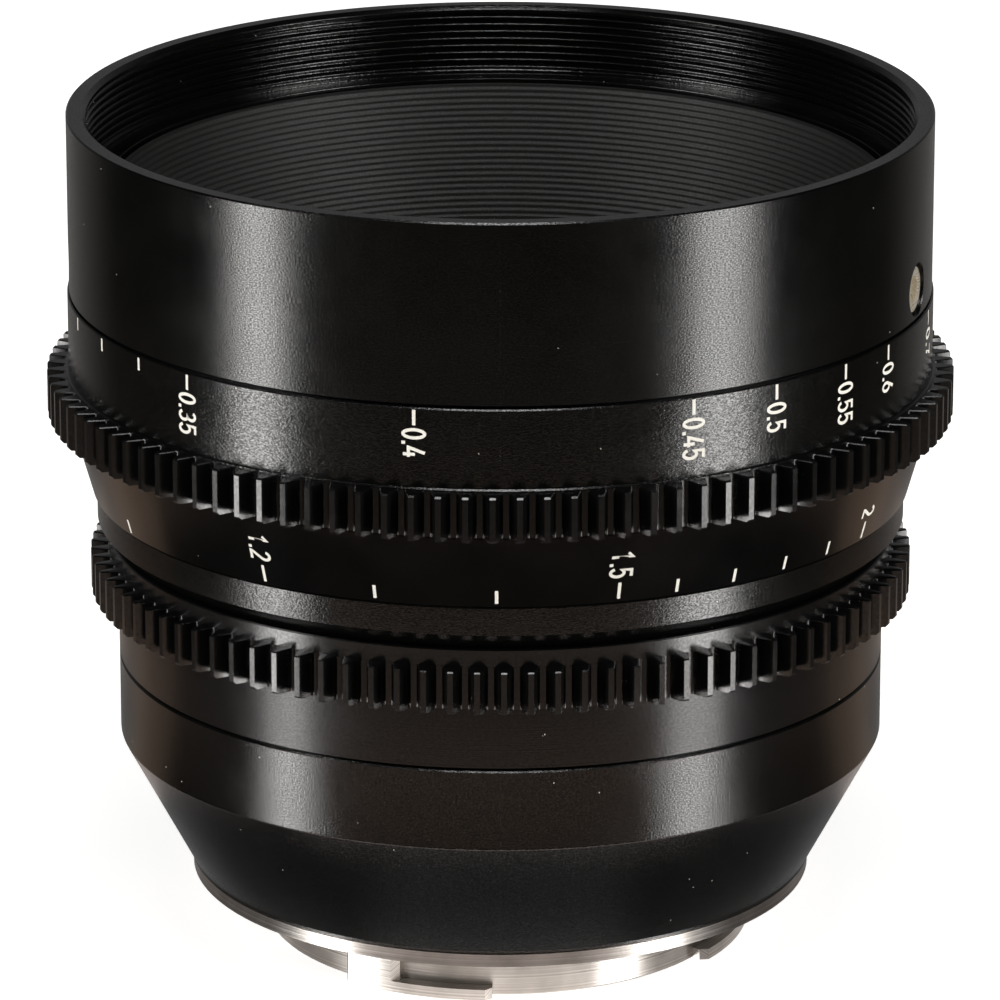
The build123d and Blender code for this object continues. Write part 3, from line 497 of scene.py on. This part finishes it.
def makeBaffle():
    d = baffle
    ribHeight = (d["top"] - d["foot"] - d["throatHeight"]) / d["ribs"]
    ribStep = (d["mouth"] - d["throat"]) / d["ribs"]
    profile = [(d["outer"], d["foot"]), (d["outer"], d["top"]), (d["mouth"] + 0.1, d["top"])]
    # soft waves down the cone, as the photo shows the ribs
    for n in range(1, d["pointsPerRib"] * d["ribs"]):
        share = n / d["pointsPerRib"]
        wave = d["ribDepth"] * (0.5 - 0.5 * math.cos(2 * math.pi * share))
        profile.append((d["mouth"] - share * ribStep + wave, d["top"] - share * ribHeight))
    profile += [(d["throat"], d["spigotBase"]), (d["spigot"], d["spigotBase"]), (d["spigot"], d["foot"])]
    mesh = latheMesh("front baffle", roundedProfile(profile, 2), 300)
    place("front_baffle_cone", mesh, "optical_block", innerBlack, ["front_baffle"])


makeBaffle()


# focus ring with its cam grooves
focusRing = {"bore": 40.05, "spigot": 41.98, "band": 42.66, "bead": 42.96, "base": 47.76, "gearTop": 52.25,
             "top": 60.2, "beadHeight": 0.1, "beadSlope": 0.15, "edge": 0.12, "boreRows": 64,
             "rollerHeight": 50.3, "travel": 5.45, "throw": 270.0, "rollerTurns": (172.0, 292.0, 52.0),
             "grooveDepth": 1.35, "grooveHalf": 0.9, "grooveRunOut": 2}


def camGroove(r, z, turn):
    # three helical grooves in the bore, where the rollers run
    d = focusRing
    if r > d["bore"] + 0.01:
        return r
    for start in d["rollerTurns"]:
        back = (start - turn) % 360
        if d["throw"] + d["grooveRunOut"] < back < 360 - d["grooveRunOut"]:
            continue
        back = back - 360 if back >= 360 - d["grooveRunOut"] else back
        middle = d["rollerHeight"] + d["travel"] * max(0.0, min(1.0, back / d["throw"]))
        if abs(z - middle) < d["grooveHalf"]:
            return d["bore"] + d["grooveDepth"]
    return r


def makeFocusRing():
    d = focusRing
    outside = roundedProfile([
        (d["bore"], d["base"]), (d["spigot"], d["base"]), (d["spigot"], d["gearTop"]),
        (d["bead"], d["gearTop"]), (d["bead"], d["gearTop"] + d["beadHeight"]),
        (d["bead"] - d["beadSlope"], d["gearTop"] + d["beadHeight"] + d["beadSlope"]),
        (d["band"], d["gearTop"] + d["beadHeight"] + d["beadSlope"]), (d["band"], d["top"], -d["edge"]),
        (d["bore"], d["top"])])
    rows = d["boreRows"]
    inside = [(d["bore"], d["top"] + (d["base"] - d["top"]) * n / rows) for n in range(1, rows)]
    mesh = latheMesh("focus ring", outside + inside, shape=camGroove)
    evenNormals(place("focus_ring_band", mesh, "focus", blasted, ["focus_ring"]))


makeFocusRing()
print("baffle and focus ring made")


# drive gears, module 0.8, straight teeth
focusGear = {"teeth": 110, "bore": 42.0, "base": 47.76, "width": 4.49, "turn": -0.93, "crown": 0.17,
             "foot": 0.25, "neckTop": None}
irisGear = {"teeth": 100, "bore": 38.0, "base": 29.36, "width": 4.28, "turn": 0.5, "crown": 0.12,
            "foot": 0.25, "neckTop": 35.34}
gearTooth = {"module": 0.8, "pressure": 20.0, "dedendum": 1.25, "rootFillet": 0.2, "thickness": 0.46,
             "flankBreak": 0.1, "sharpAngle": 40}
gearCollar = {"sink": 0.2, "gap": 0.01, "edge": 0.12}


def toothHalfAngle(radius, pitchRadius, teeth):
    # half the tooth's angle at a radius, from the involute of the base circle
    pressure = math.radians(gearTooth["pressure"])
    baseRadius = pitchRadius * math.cos(pressure)
    here = math.acos(min(1.0, baseRadius / radius))
    drop = (math.tan(here) - here) - (math.tan(pressure) - pressure)
    return math.pi / teeth * gearTooth["thickness"] - drop


def toothOutline(limit, pitchRadius, root, teeth, inset):
    # (angle, radius) from the middle of one gap to the middle of the next, round one tooth
    half = math.pi / teeth
    fillet = gearTooth["rootFillet"]
    foot = toothHalfAngle(root + fillet, pitchRadius, teeth) - inset / root
    side = [(half, root), (foot + fillet / root, root), (foot + 0.38 * fillet / root, root + 0.1 * fillet),
            (foot + 0.08 * fillet / root, root + 0.42 * fillet), (foot, root + fillet)]
    for n in range(1, 6):
        r = root + fillet + (limit - root - fillet) * n / 5
        side.append((toothHalfAngle(r, pitchRadius, teeth) - inset / r, r))
    side.append((0.0, limit))
    left = [(-a, r) for a, r in side]
    right = [(a, r) for a, r in reversed(side[:-1])]
    return left + right[:-1]


def makeGear(name, d, body, replaced):
    teeth, module = d["teeth"], gearTooth["module"]
    pitchRadius = module * teeth / 2
    tipRadius, root = pitchRadius + module, pitchRadius - gearTooth["dedendum"] * module
    # (height above the base, how far out the blank reaches there, how far in the flanks stand): flat chamfers
    edge = gearTooth["flankBreak"]
    width, crown = d["width"], d["crown"]
    levels = ((0, tipRadius - d["foot"], 0), (d["foot"], tipRadius, 0), (width - crown, tipRadius, 0),
              (width - crown * 0.5, tipRadius - crown * 0.5, 0), (width, tipRadius - crown, edge))
    perTooth = len(toothOutline(tipRadius, pitchRadius, root, teeth, 0))
    ring = perTooth * teeth
    points, faces = [], []
    for z, limit, inset in levels:
        outline = toothOutline(limit, pitchRadius, root, teeth, inset)
        for t in range(teeth):
            middle = d["turn"] + 360 * t / teeth
            for a, r in outline:
                points.append(onTurn(r, middle + math.degrees(a), d["base"] + z))
    for k in range(len(levels) - 1):
        for i in range(ring):
            j = (i + 1) % ring
            faces.append((k * ring + i, k * ring + j, (k + 1) * ring + j, (k + 1) * ring + i))
    # end faces: a bore point at each gap middle and each tooth middle
    boreAt = {}
    for level, z in ((0, d["base"]), (len(levels) - 1, d["base"] + d["width"])):
        for t in range(teeth):
            for k, share in enumerate((-0.5, 0.0)):
                boreAt[level, t, k] = len(points)
                points.append(onTurn(d["bore"], d["turn"] + 360 * (t + share) / teeth, z))
    middleIndex = perTooth // 2
    for level, flip in ((0, True), (len(levels) - 1, False)):
        for t in range(teeth):
            u = (t + 1) % teeth
            base = level * ring
            first = [base + t * perTooth + i for i in range(middleIndex + 1)]
            second = [base + t * perTooth + i for i in range(middleIndex, perTooth)] + [base + u * perTooth]
            for outer, innerStart, innerEnd in ((first, boreAt[level, t, 0], boreAt[level, t, 1]),
                                                (second, boreAt[level, t, 1], boreAt[level, u, 0])):
                face = [innerStart] + outer + [innerEnd]
                faces.append(tuple(reversed(face)) if flip else tuple(face))
    top = len(levels) - 1
    for t in range(teeth):
        u = (t + 1) % teeth
        for i, j in ((boreAt[0, t, 0], boreAt[0, t, 1]), (boreAt[0, t, 1], boreAt[0, u, 0])):
            k = boreAt[top, t, 0] + (i - boreAt[0, t, 0])
            m = boreAt[top, t, 1] if j == boreAt[0, t, 1] else boreAt[top, u, 0]
            faces.append((j, i, k, m))
    mesh = makeMesh(name, points, faces, gearTooth["sharpAngle"])
    place(name, mesh, body, gearBlack, replaced)
    if d["neckTop"]:
        foot = d["base"] + d["width"] - gearCollar["sink"]
        outer = root - gearCollar["gap"]
        collar = roundedProfile([
            (d["bore"], foot), (outer, foot), (outer, d["neckTop"], -gearCollar["edge"]), (d["bore"], d["neckTop"])])
        place(name + "_collar", latheMesh("gear collar", collar), body, gearBlack, ())


makeGear("focus_drive_gear", focusGear, "focus", ["focus_gear"])
makeGear("iris_drive_gear", irisGear, "iris", ["iris_gear"])
print("gears made")


# scale cone, iris ring, rear sleeve and rear housing
scaleCone = {"bore": 40.02, "lower": 40.48, "upper": 42.6, "base": 40.11, "top": 47.6, "edge": 0.12}
irisRing = {"bore": 36.05, "core": 37.98, "groove": 38.2, "band": 40.07, "base": 29.36, "neckTop": 35.34,
            "grooveTop": 37.12, "top": 39.95, "recess": 37.82, "recessDepth": 0.4, "edge": 0.16}
rearSleeve = {"bore": 36.02, "lip": 37.42, "outer": 38.1, "foot": 22.8, "base": 23.1, "top": 29.2}
rearHousing = {"bore": 24.5, "tip": 31.2, "base": 1.5, "lip": 0.25, "outer": 38.1, "coneTop": 14.78, "top": 22.8,
               "socket": 36.02, "foot": 15.5, "ledge": 33.02, "inner": 28.0, "floor": 4.5, "blend": 0.5, "edge": 0.18}


def makeOuterRings():
    d = scaleCone
    profile = roundedProfile([(d["bore"], d["base"]), (d["lower"], d["base"], -d["edge"]),
                              (d["upper"], d["top"], -d["edge"]), (d["bore"], d["top"])])
    evenNormals(place("scale_cone", latheMesh("scale cone", profile), "barrel", coneBlack,
                      ["aperture_scale_ring"]))
    d = irisRing
    profile = roundedProfile([
        (d["bore"], d["base"]), (d["core"], d["base"]), (d["core"], d["neckTop"]), (d["groove"], d["neckTop"]),
        (d["band"], d["grooveTop"]), (d["band"], d["top"], -d["edge"]),
        (d["recess"], d["top"]), (d["recess"], d["top"] - d["recessDepth"]), (d["bore"], d["top"] - d["recessDepth"])])
    evenNormals(place("iris_ring_band", latheMesh("iris ring", profile), "iris", blasted,
                      ["iris_ring"]))
    d = rearSleeve
    profile = roundedProfile([
        (d["bore"], d["foot"]), (d["lip"], d["foot"]), (d["lip"], d["base"]), (d["outer"], d["base"]),
        (d["outer"], d["top"]), (d["bore"], d["top"])])
    evenNormals(place("rear_sleeve_band", latheMesh("rear sleeve", profile), "barrel", satin,
                      ["rear_sleeve"]))
    d = rearHousing
    profile = roundedProfile([
        (d["bore"], d["base"]), (d["tip"], d["base"]), (d["tip"], d["base"] + d["lip"], 0.1),
        (d["outer"], d["coneTop"], d["blend"]), (d["outer"], d["top"], -d["edge"]), (d["socket"], d["top"]),
        (d["socket"], d["foot"]), (d["ledge"], d["foot"]), (d["inner"], d["floor"]), (d["bore"], d["floor"])], 6)
    evenNormals(place("rear_housing_shell", latheMesh("rear housing", profile), "barrel", blasted,
                      ["rear_housing"]))


makeOuterRings()
print("outer rings made")


# scales: marks filled with white ink, set into the rings
digitStyle = {"height": 2.4, "stroke": 0.31, "lift": 0.012, "tailGap": 0.12}
# how far each sign moves the next one along; the rest take the plain step
digitStep = {".": 0.52, "∞": 2.5, "plain": 1.24}


def arcPoints(x, y, rx, ry, start, end, steps=14):
    return [(x + rx * math.cos(math.radians(start + (end - start) * n / steps)),
             y + ry * math.sin(math.radians(start + (end - start) * n / steps))) for n in range(steps + 1)]


def digitStrokes(digit):
    # centre lines of a plain engraving face in a box 1.2 wide and 2.4 high
    shapes = {
        "0": [arcPoints(0.56, 1.2, 0.4, 1.03, 0, 360, 28)],
        "1": [[(0.18, 1.78), (0.6, 2.23), (0.6, 0.17)]],
        "2": [arcPoints(0.56, 1.72, 0.4, 0.51, 165, -20) + [(0.86, 1.35), (0.2, 0.34), (0.16, 0.17), (1.02, 0.17)]],
        "3": [arcPoints(0.52, 1.72, 0.38, 0.51, 150, -90) + arcPoints(0.52, 0.73, 0.43, 0.56, 75, -155)],
        "4": [[(0.66, 2.25), (0.14, 0.68), (1.08, 0.68)], [(0.8, 1.3), (0.8, 0.15)]],
        "5": [[(0.98, 2.23), (0.27, 2.23), (0.22, 1.25)] + arcPoints(0.55, 0.84, 0.42, 0.67, 118, -155)],
        "6": [[(0.74, 2.25), (0.3, 1.3)] + arcPoints(0.57, 0.8, 0.4, 0.63, 140, 500, 26)],
        "7": [[(0.14, 2.23), (0.98, 2.23), (0.4, 0.15)]],
        "8": [arcPoints(0.56, 1.74, 0.35, 0.49, 0, 360, 24), arcPoints(0.56, 0.74, 0.42, 0.57, 0, 360, 24)],
        ".": [[(0.2, 0.02), (0.2, 0.38)]],
    }
    return shapes[digit]


def loopStrokes():
    # the far mark: two loops side by side
    ring = []
    for n in range(41):
        a = 2 * math.pi * n / 40
        ring.append((1.25 + 1.05 * math.sin(a), 1.2 + 0.5 * math.sin(2 * a)))
    return [ring]


def ribbon(points, width):
    # a flat ribbon along a line of (x, y) points; returns left and right edges
    closed = math.dist(points[0], points[-1]) < 1e-6
    edges = []
    count = len(points)
    for i, (x, y) in enumerate(points):
        before = points[i - 1] if i else (points[-2] if closed else None)
        after = points[i + 1] if i < count - 1 else (points[1] if closed else None)
        directions = []
        for a, b in ((before, (x, y)), ((x, y), after)):
            if a is not None and b is not None:
                length = math.dist(a, b) or 1.0
                directions.append(((b[0] - a[0]) / length, (b[1] - a[1]) / length))
        dx = sum(v[0] for v in directions)
        dy = sum(v[1] for v in directions)
        length = math.hypot(dx, dy) or 1.0
        nx, ny = -dy / length, dx / length
        stretch = 1.0
        if len(directions) == 2:
            stretch = 1 / max(0.55, abs(nx * -directions[0][1] + ny * directions[0][0]))
        h = width / 2 * stretch
        edges.append(((x + nx * h, y + ny * h), (x - nx * h, y - ny * h)))
    return edges


class InkLayer:
    # gathers flat strokes that are wrapped on a ring; wrap(across, along) gives the point in mm
    def __init__(self):
        self.points, self.faces = [], []

    def strip(self, edges, wrap):
        start = len(self.points)
        for left, right in edges:
            self.points.append(wrap(*left))
            self.points.append(wrap(*right))
        for i in range(len(edges) - 1):
            k = start + 2 * i
            self.faces.append((k, k + 1, k + 3, k + 2))


def ringWrap(radiusAt, turn, lift):
    # across runs round the ring towards +turn, along runs up the axis
    def wrap(across, along):
        r = radiusAt(along)
        return onTurn(r + lift, turn + math.degrees(across / r), along)
    return wrap


def addTick(layer, wrap, top, bottom, width):
    heights = [top + (bottom - top) * n / 4 for n in range(5)]
    layer.strip([((-width / 2, z), (width / 2, z)) for z in heights], wrap)


def addNumber(layer, wrap, text, start):
    # reads downward from the height start, tops of the digits towards +turn
    style = digitStyle
    x = 0.0
    for char in text:
        strokes = loopStrokes() if char == "∞" else digitStrokes(char)
        for line in strokes:
            edges = [tuple((p[1] - style["height"] / 2, start - x - p[0]) for p in pair)
                     for pair in ribbon(line, style["stroke"])]
            layer.strip(edges, wrap)
        x += digitStep.get(char, digitStep["plain"])


def numberLength(text):
    return sum(digitStep.get(char, digitStep["plain"]) for char in text) - digitStyle["tailGap"]


focusScale = {"tickTop": 60.0, "major": 1.5, "minor": 1.25, "tickWidth": 0.32, "textTop": 58.22,
              "marks": (("0.3", -96.0), ("0.35", -44.0), ("0.4", -10.9), ("0.45", 25.1), ("0.5", 37.6),
                        ("0.55", 50.3), ("0.6", 60.7), ("0.7", 77.8), ("0.8", 92.4), ("1", 109.8),
                        ("1.2", 121.3), ("1.5", 132.4), ("2", 143.1), ("3", 153.6), ("5", 161.9), ("∞", 173.9)),
              "minors": (-84.6, -74.1, -63.9, -53.9)}
stopScale = {"tickBottom": 40.5, "major": 1.75, "minor": 1.4, "tickWidth": 0.32, "textBottom": 42.75,
             "marks": (("1.2", -33.3), ("1.5", 15.9), ("2", 59.1), ("2.8", 96.6), ("4", 124.7), ("5.6", 143.5),
                       ("8", 157.6), ("11", 166.7), ("16", 176.0)),
             "minors": (-61.7, -16.9, -0.5, 24.2, 33.0, 41.7, 50.4)}
indexLines = {"turn": 172.0, "width": 0.32, "front": (60.95, 62.5), "iris": (37.4, 39.7)}


def coneRadius(z):
    cone = scaleCone
    slope = (cone["upper"] - cone["lower"]) / (cone["top"] - cone["base"])
    return cone["lower"] + slope * (z - cone["base"])


def placeInk(name, title, layer, body):
    place(name, makeMesh(title, layer.points, layer.faces), body, ink)


def makeScales():
    lift = digitStyle["lift"]
    layer = InkLayer()
    d = focusScale
    for text, turn in d["marks"]:
        wrap = ringWrap(lambda z: focusRing["band"], turn, lift)
        addTick(layer, wrap, d["tickTop"], d["tickTop"] - d["major"], d["tickWidth"])
        addNumber(layer, wrap, text, d["textTop"])
    for turn in d["minors"]:
        wrap = ringWrap(lambda z: focusRing["band"], turn, lift)
        addTick(layer, wrap, d["tickTop"], d["tickTop"] - d["minor"], d["tickWidth"])
    placeInk("focus_scale_marks", "focus scale", layer, "focus")

    layer = InkLayer()
    d = stopScale
    for text, turn in d["marks"]:
        wrap = ringWrap(coneRadius, turn, lift)
        addTick(layer, wrap, d["tickBottom"] + d["major"], d["tickBottom"], d["tickWidth"])
        addNumber(layer, wrap, text, d["textBottom"] + numberLength(text))
    for turn in d["minors"]:
        wrap = ringWrap(coneRadius, turn, lift)
        addTick(layer, wrap, d["tickBottom"] + d["minor"], d["tickBottom"], d["tickWidth"])
    placeInk("stop_scale_marks", "stop scale", layer, "barrel")

    for name, body, radius, span in (("front_index_line", "barrel", frontRing["outer"], indexLines["front"]),
                                     ("iris_index_line", "iris", irisRing["band"], indexLines["iris"])):
        layer = InkLayer()
        wrap = ringWrap(lambda z: radius, indexLines["turn"], lift)
        addTick(layer, wrap, span[1], span[0], indexLines["width"])
        placeInk(name, name, layer, body)


makeScales()
print("scales made")


# finishes of the CAD nodes that stay as they are
nodeFinish = {
    "main_barrel": innerBlack, "focus_thrust_ring": acetal, "iris_thrust_ring": acetal,
    "iris_stop_screw": darkSteel, "shim_ring": steel, "mount_plate": steel, "mount_screws": nickel,
    "rear_baffle": innerBlack, "rear_baffle_screws": darkSteel, "lens_carriage": innerBlack,
    "focus_rollers": brass, "front_cell": innerBlack, "front_retaining_ring": innerBlack,
    "front_element": glass, "front_spacer": innerBlack, "second_element": glass, "third_element": glass,
    "iris_housing": innerBlack, "iris_cover": innerBlack, "actuator_ring": brass, "rear_cell": innerBlack,
    "fourth_element": glass, "rear_spacer": innerBlack, "fifth_element": glass, "rear_group_ring": innerBlack,
    "rear_element": glass, "rear_retaining_ring": innerBlack,
}
nodeFinish.update({f"iris_blade_{n}": darkSteel for n in range(1, 10)})
for name, finish in nodeFinish.items():
    for slotHolder in nodes[name].material_slots:
        slotHolder.material = finish


# studio: the floor, and what shiny parts see on it: painted reflections that glow in the floor's shader, in bands that
# stand for cards: (distance from the axis in mm, brightness, colour);
# fades are (start, end) along the share of +Y in the direction, or in m from the axis
studio = {
    "floorHeight": -5.99, "floorSize": 6000, "glow": 0.71, "board": ("#e6e5e3", "#ecebe9"),
    "specklesPerMetre": 90.0,
    "fill": 0.05, "inGlass": 0.16, "backWall": ((0.55, 0.95), (0.01, 0.16)),
    "cardReach": 0.4, "cardLevel": 2.0, "nearFade": (-0.8, -0.95), "nearLeft": 0.3, "wideFade": (-0.6, -0.8),
    "wideLeft": 0.2, "nearEnds": (0.044, 0.047), "behind": 0.04, "behindFade": (0.35, 0.75), "paintedBackReflectionColor": "#f0dccb",
    "sides": 0.3, "paintedSideReflectionColor": "#d8b79b", "sidesFade": ((0.05, 0.2), (0.45, 0.65)),
    "sidesReach": ((0.05, 0.06), (0.12, 0.16)),
    "paintedReflectionBands": (
        (0, 1.7, "#fff6f0"), (30, 1.6, "#fff6f0"), (33, 0.25, "#ffffff"), (38, 0.13, "#ffffff"),
        (46, 0.13, "#ffffff"), (49, 2.0, "#ffeee6"), (55, 2.0, "#ffeee6"), (59, 0.12, "#fff0e0"),
        (72, 0.03, "#ffe6d0"), (94, 0.03, "#ffe6d0"), (100, 0.85, "#ffdcc4"), (121, 0.75, "#ffdcc4"),
        (132, 0.12, "#fff0e6"), (168, 0.3, "#ffe4d0"), (185, 0.3, "#ffe4d0"), (225, 0.07, "#fff0e0"),
        (300, 0.01, "#ffffff"))}


def straightView(tree, path):
    # 1 for rays straight from the camera or through glass, little once a ray has been reflected in the lens
    clear = addNode(tree, "ShaderNodeMath", {0: path.outputs["Glossy Depth"], 1: 0.5}, operation="LESS_THAN")
    share = addNode(tree, "ShaderNodeMath", {
        0: clear.outputs["Value"], 1: 1 - studio["inGlass"], 2: studio["inGlass"]}, operation="MULTIPLY_ADD")
    through = addNode(tree, "ShaderNodeMath", {
        0: path.outputs["Is Transmission Ray"], 1: share.outputs["Value"]}, operation="MULTIPLY")
    return addNode(tree, "ShaderNodeMath", {
        0: path.outputs["Is Camera Ray"], 1: through.outputs["Value"]}, operation="MAXIMUM").outputs["Value"]


def paintedReflectionTones(tree, away):
    # the painted reflection's tones by distance from the axis, as shares of the brightest one
    reach = studio["cardReach"]
    share = addNode(tree, "ShaderNodeMapRange", {
        "Value": away, "From Min": 0.0, "From Max": reach, "To Min": 0.0, "To Max": 1.0})
    tones = addNode(tree, "ShaderNodeValToRGB", {"Fac": share.outputs["Result"]})
    ramp = tones.color_ramp
    for n, (radius, level, color) in enumerate(studio["paintedReflectionBands"]):
        stop = ramp.elements[n] if n < 2 else ramp.elements.new(0.99)
        stop.position = radius * mm / reach
        stop.color = [c * level / studio["cardLevel"] for c in linear(color)[:3]] + [1.0]
    return tones.outputs["Color"]


def paintedReflectionShader(tree, where):
    # what shiny parts see: painted reflections glowing in the floor, bright in front, a faint sheet behind and brown on
    # either side
    d = studio
    away = addNode(tree, "ShaderNodeVectorMath", {0: where}, operation="LENGTH").outputs["Value"]
    tones = paintedReflectionTones(tree, away)
    facing = addNode(tree, "ShaderNodeVectorMath", {0: where}, operation="NORMALIZE")
    depth = addNode(tree, "ShaderNodeSeparateXYZ", {"Vector": facing.outputs["Vector"]}).outputs["Y"]
    full = d["cardLevel"]
    # soft fades: (field, (start, end) along it, value before, value after)
    fades = {
        "near": (depth, d["nearFade"], d["nearLeft"] * full, full),
        "wide": (depth, d["wideFade"], d["wideLeft"] * full, full),
        "far": (away, d["nearEnds"], 0.0, 1.0),
        "sides": (depth, d["sidesFade"][0], 0.0, d["sides"]),
        "sidesBack": (depth, d["sidesFade"][1], 1.0, 0.0),
        "sidesStart": (away, d["sidesReach"][0], 0.0, 1.0),
        "sidesEnd": (away, d["sidesReach"][1], 1.0, 0.0),
        "behind": (depth, d["behindFade"], 0.0, d["behind"])}
    faded = {}
    for name, (field, (start, end), low, high) in fades.items():
        faded[name] = addNode(tree, "ShaderNodeMapRange", {
            "Value": field, "From Min": start, "From Max": end, "To Min": low, "To Max": high},
            interpolation_type="SMOOTHSTEP").outputs["Result"]
    front = addNode(tree, "ShaderNodeMix", {"Factor": faded["far"], "A": faded["near"], "B": faded["wide"]})
    # the scale cone shows the painted brown reflection near its edges
    sides = faded["sides"]
    for gate in ("sidesBack", "sidesStart", "sidesEnd"):
        sides = addNode(tree, "ShaderNodeMath", {0: sides, 1: faded[gate]}, operation="MULTIPLY").outputs[0]
    shader = None
    # each glow is a painted reflection, seen only by rays that come off shiny parts
    for color, strength in ((linear(d["paintedBackReflectionColor"]), faded["behind"]), (linear(d["paintedSideReflectionColor"]), sides),
                            (tones, front.outputs["Result"])):
        glow = addNode(tree, "ShaderNodeEmission", {"Color": color, "Strength": strength}).outputs[0]
        shader = addNode(tree, "ShaderNodeAddShader", {0: shader, 1: glow}).outputs[0] if shader else glow
    return shader


def makeFloor():
    size, z = studio["floorSize"], studio["floorHeight"]
    mesh = makeMesh("floor", [(-size, -size, z), (size, -size, z), (size, size, z), (-size, size, z)], [(0, 1, 2, 3)])
    floor = bpy.data.objects.new("floor", mesh)
    bpy.context.scene.collection.objects.link(floor)
    material = bpy.data.materials.new("painted board")
    material.use_nodes = True
    tree = material.node_tree
    tree.nodes.clear()
    # camera rays see the board's own shade with its shadow, lifted to white; shiny parts see painted reflections
    # glowing in it
    where = addNode(tree, "ShaderNodeTexCoord").outputs["Object"]
    speckle = addNode(tree, "ShaderNodeTexNoise", {"Vector": where, "Scale": studio["specklesPerMetre"], "Detail": 3.0})
    tone = addNode(tree, "ShaderNodeMix", {
        "Factor": speckle.outputs["Fac"], "A": linear(studio["board"][0]), "B": linear(studio["board"][1])},
        data_type="RGBA")
    board = addNode(tree, "ShaderNodeBsdfDiffuse", {"Color": tone.outputs["Result"]}).outputs[0]
    glow = addNode(tree, "ShaderNodeEmission", {"Color": (1, 1, 1, 1), "Strength": studio["glow"]})
    lifted = addNode(tree, "ShaderNodeAddShader", {0: board, 1: glow.outputs[0]}).outputs[0]
    path = addNode(tree, "ShaderNodeLightPath")
    plain = addNode(tree, "ShaderNodeMixShader", {"Fac": straightView(tree, path), 1: board, 2: lifted})
    # the strip lights hang lower than the board, and shiny parts see them past it
    past = addNode(tree, "ShaderNodeBsdfTransparent").outputs[0]
    mirrored = addNode(tree, "ShaderNodeAddShader", {0: paintedReflectionShader(tree, where), 1: past}).outputs[0]
    shader = addNode(tree, "ShaderNodeMixShader", {
        "Fac": path.outputs["Is Glossy Ray"], 1: plain.outputs[0], 2: mirrored})
    addNode(tree, "ShaderNodeOutputMaterial", {"Surface": shader.outputs[0]})
    mesh.materials.append(material)
    floor.visible_shadow = False


def makeWorld():
    world = bpy.data.worlds.new("studio")
    bpy.context.scene.world = world
    world.use_nodes = True
    tree = world.node_tree
    tree.nodes.clear()
    path = addNode(tree, "ShaderNodeLightPath")
    seen = straightView(tree, path)
    where = addNode(tree, "ShaderNodeTexCoord")
    axes = addNode(tree, "ShaderNodeSeparateXYZ", {"Vector": where.outputs["Generated"]})
    (start, end), (low, high) = studio["backWall"]
    behind = addNode(tree, "ShaderNodeMapRange", {
        "Value": axes.outputs["Y"], "From Min": start, "From Max": end, "To Min": low, "To Max": high})
    mirrored = addNode(tree, "ShaderNodeMix", {
        "Factor": path.outputs["Is Glossy Ray"], "A": studio["fill"], "B": behind.outputs["Result"]})
    level = addNode(tree, "ShaderNodeMix", {"Factor": seen, "A": mirrored.outputs["Result"], "B": 1.0})
    back = addNode(tree, "ShaderNodeBackground", {"Color": (1, 1, 1, 1), "Strength": level.outputs["Result"]})
    addNode(tree, "ShaderNodeOutputWorld", {"Surface": back.outputs[0]})


# turn and rise in degrees, the rest in m
softboxes = (
    {"name": "left strip", "turn": -65.5, "rise": 9.0, "away": 1.15, "wide": 0.3, "tall": 1.95,
     "level": 9.0, "color": "#fffdfb"},
    {"name": "right strip", "turn": 59.5, "rise": 9.0, "away": 1.15, "wide": 0.36, "tall": 1.95,
     "level": 8.0, "color": "#fffdfb"},
    {"name": "overhead", "turn": 0.0, "rise": 70.0, "away": 1.3, "wide": 0.5, "tall": 0.3,
     "level": 8.5, "color": "#ffffff"},
)
aimHeight = 0.04


def makeLights():
    for d in softboxes:
        lamp = bpy.data.lights.new(d["name"], "AREA")
        lamp.shape = "RECTANGLE"
        lamp.size, lamp.size_y = d["wide"], d["tall"]
        lamp.energy = d["level"] * math.pi * d["wide"] * d["tall"]
        lamp.color = linear(d["color"])[:3]
        light = bpy.data.objects.new(d["name"], lamp)
        bpy.context.scene.collection.objects.link(light)
        rise = math.radians(d["rise"])
        x, y, _ = onTurn(d["away"] * math.cos(rise), d["turn"])
        light.location = (x, y, aimHeight + d["away"] * math.sin(rise))
        light.rotation_euler = (math.radians(90) - rise, 0, math.radians(d["turn"]))
        light.visible_camera = False


view = {"place": (0.0, -0.6708, 0.25475), "tilt": 72.064, "lens": 254.82, "sensor": 36, "shift": -0.0004,
        "clip": (0.01, 50)}


def makeCamera():
    data = bpy.data.cameras.new("camera")
    data.sensor_width = view["sensor"]
    data.lens = view["lens"]
    data.shift_x = view["shift"]
    data.clip_start, data.clip_end = view["clip"]
    camera = bpy.data.objects.new("camera", data)
    bpy.context.scene.collection.objects.link(camera)
    camera.location = view["place"]
    camera.rotation_euler = (math.radians(view["tilt"]), 0, 0)
    bpy.context.scene.camera = camera


makeFloor()
makeWorld()
makeLights()
makeCamera()
bpy.context.scene.view_settings.view_transform = "Standard"
print("studio made")
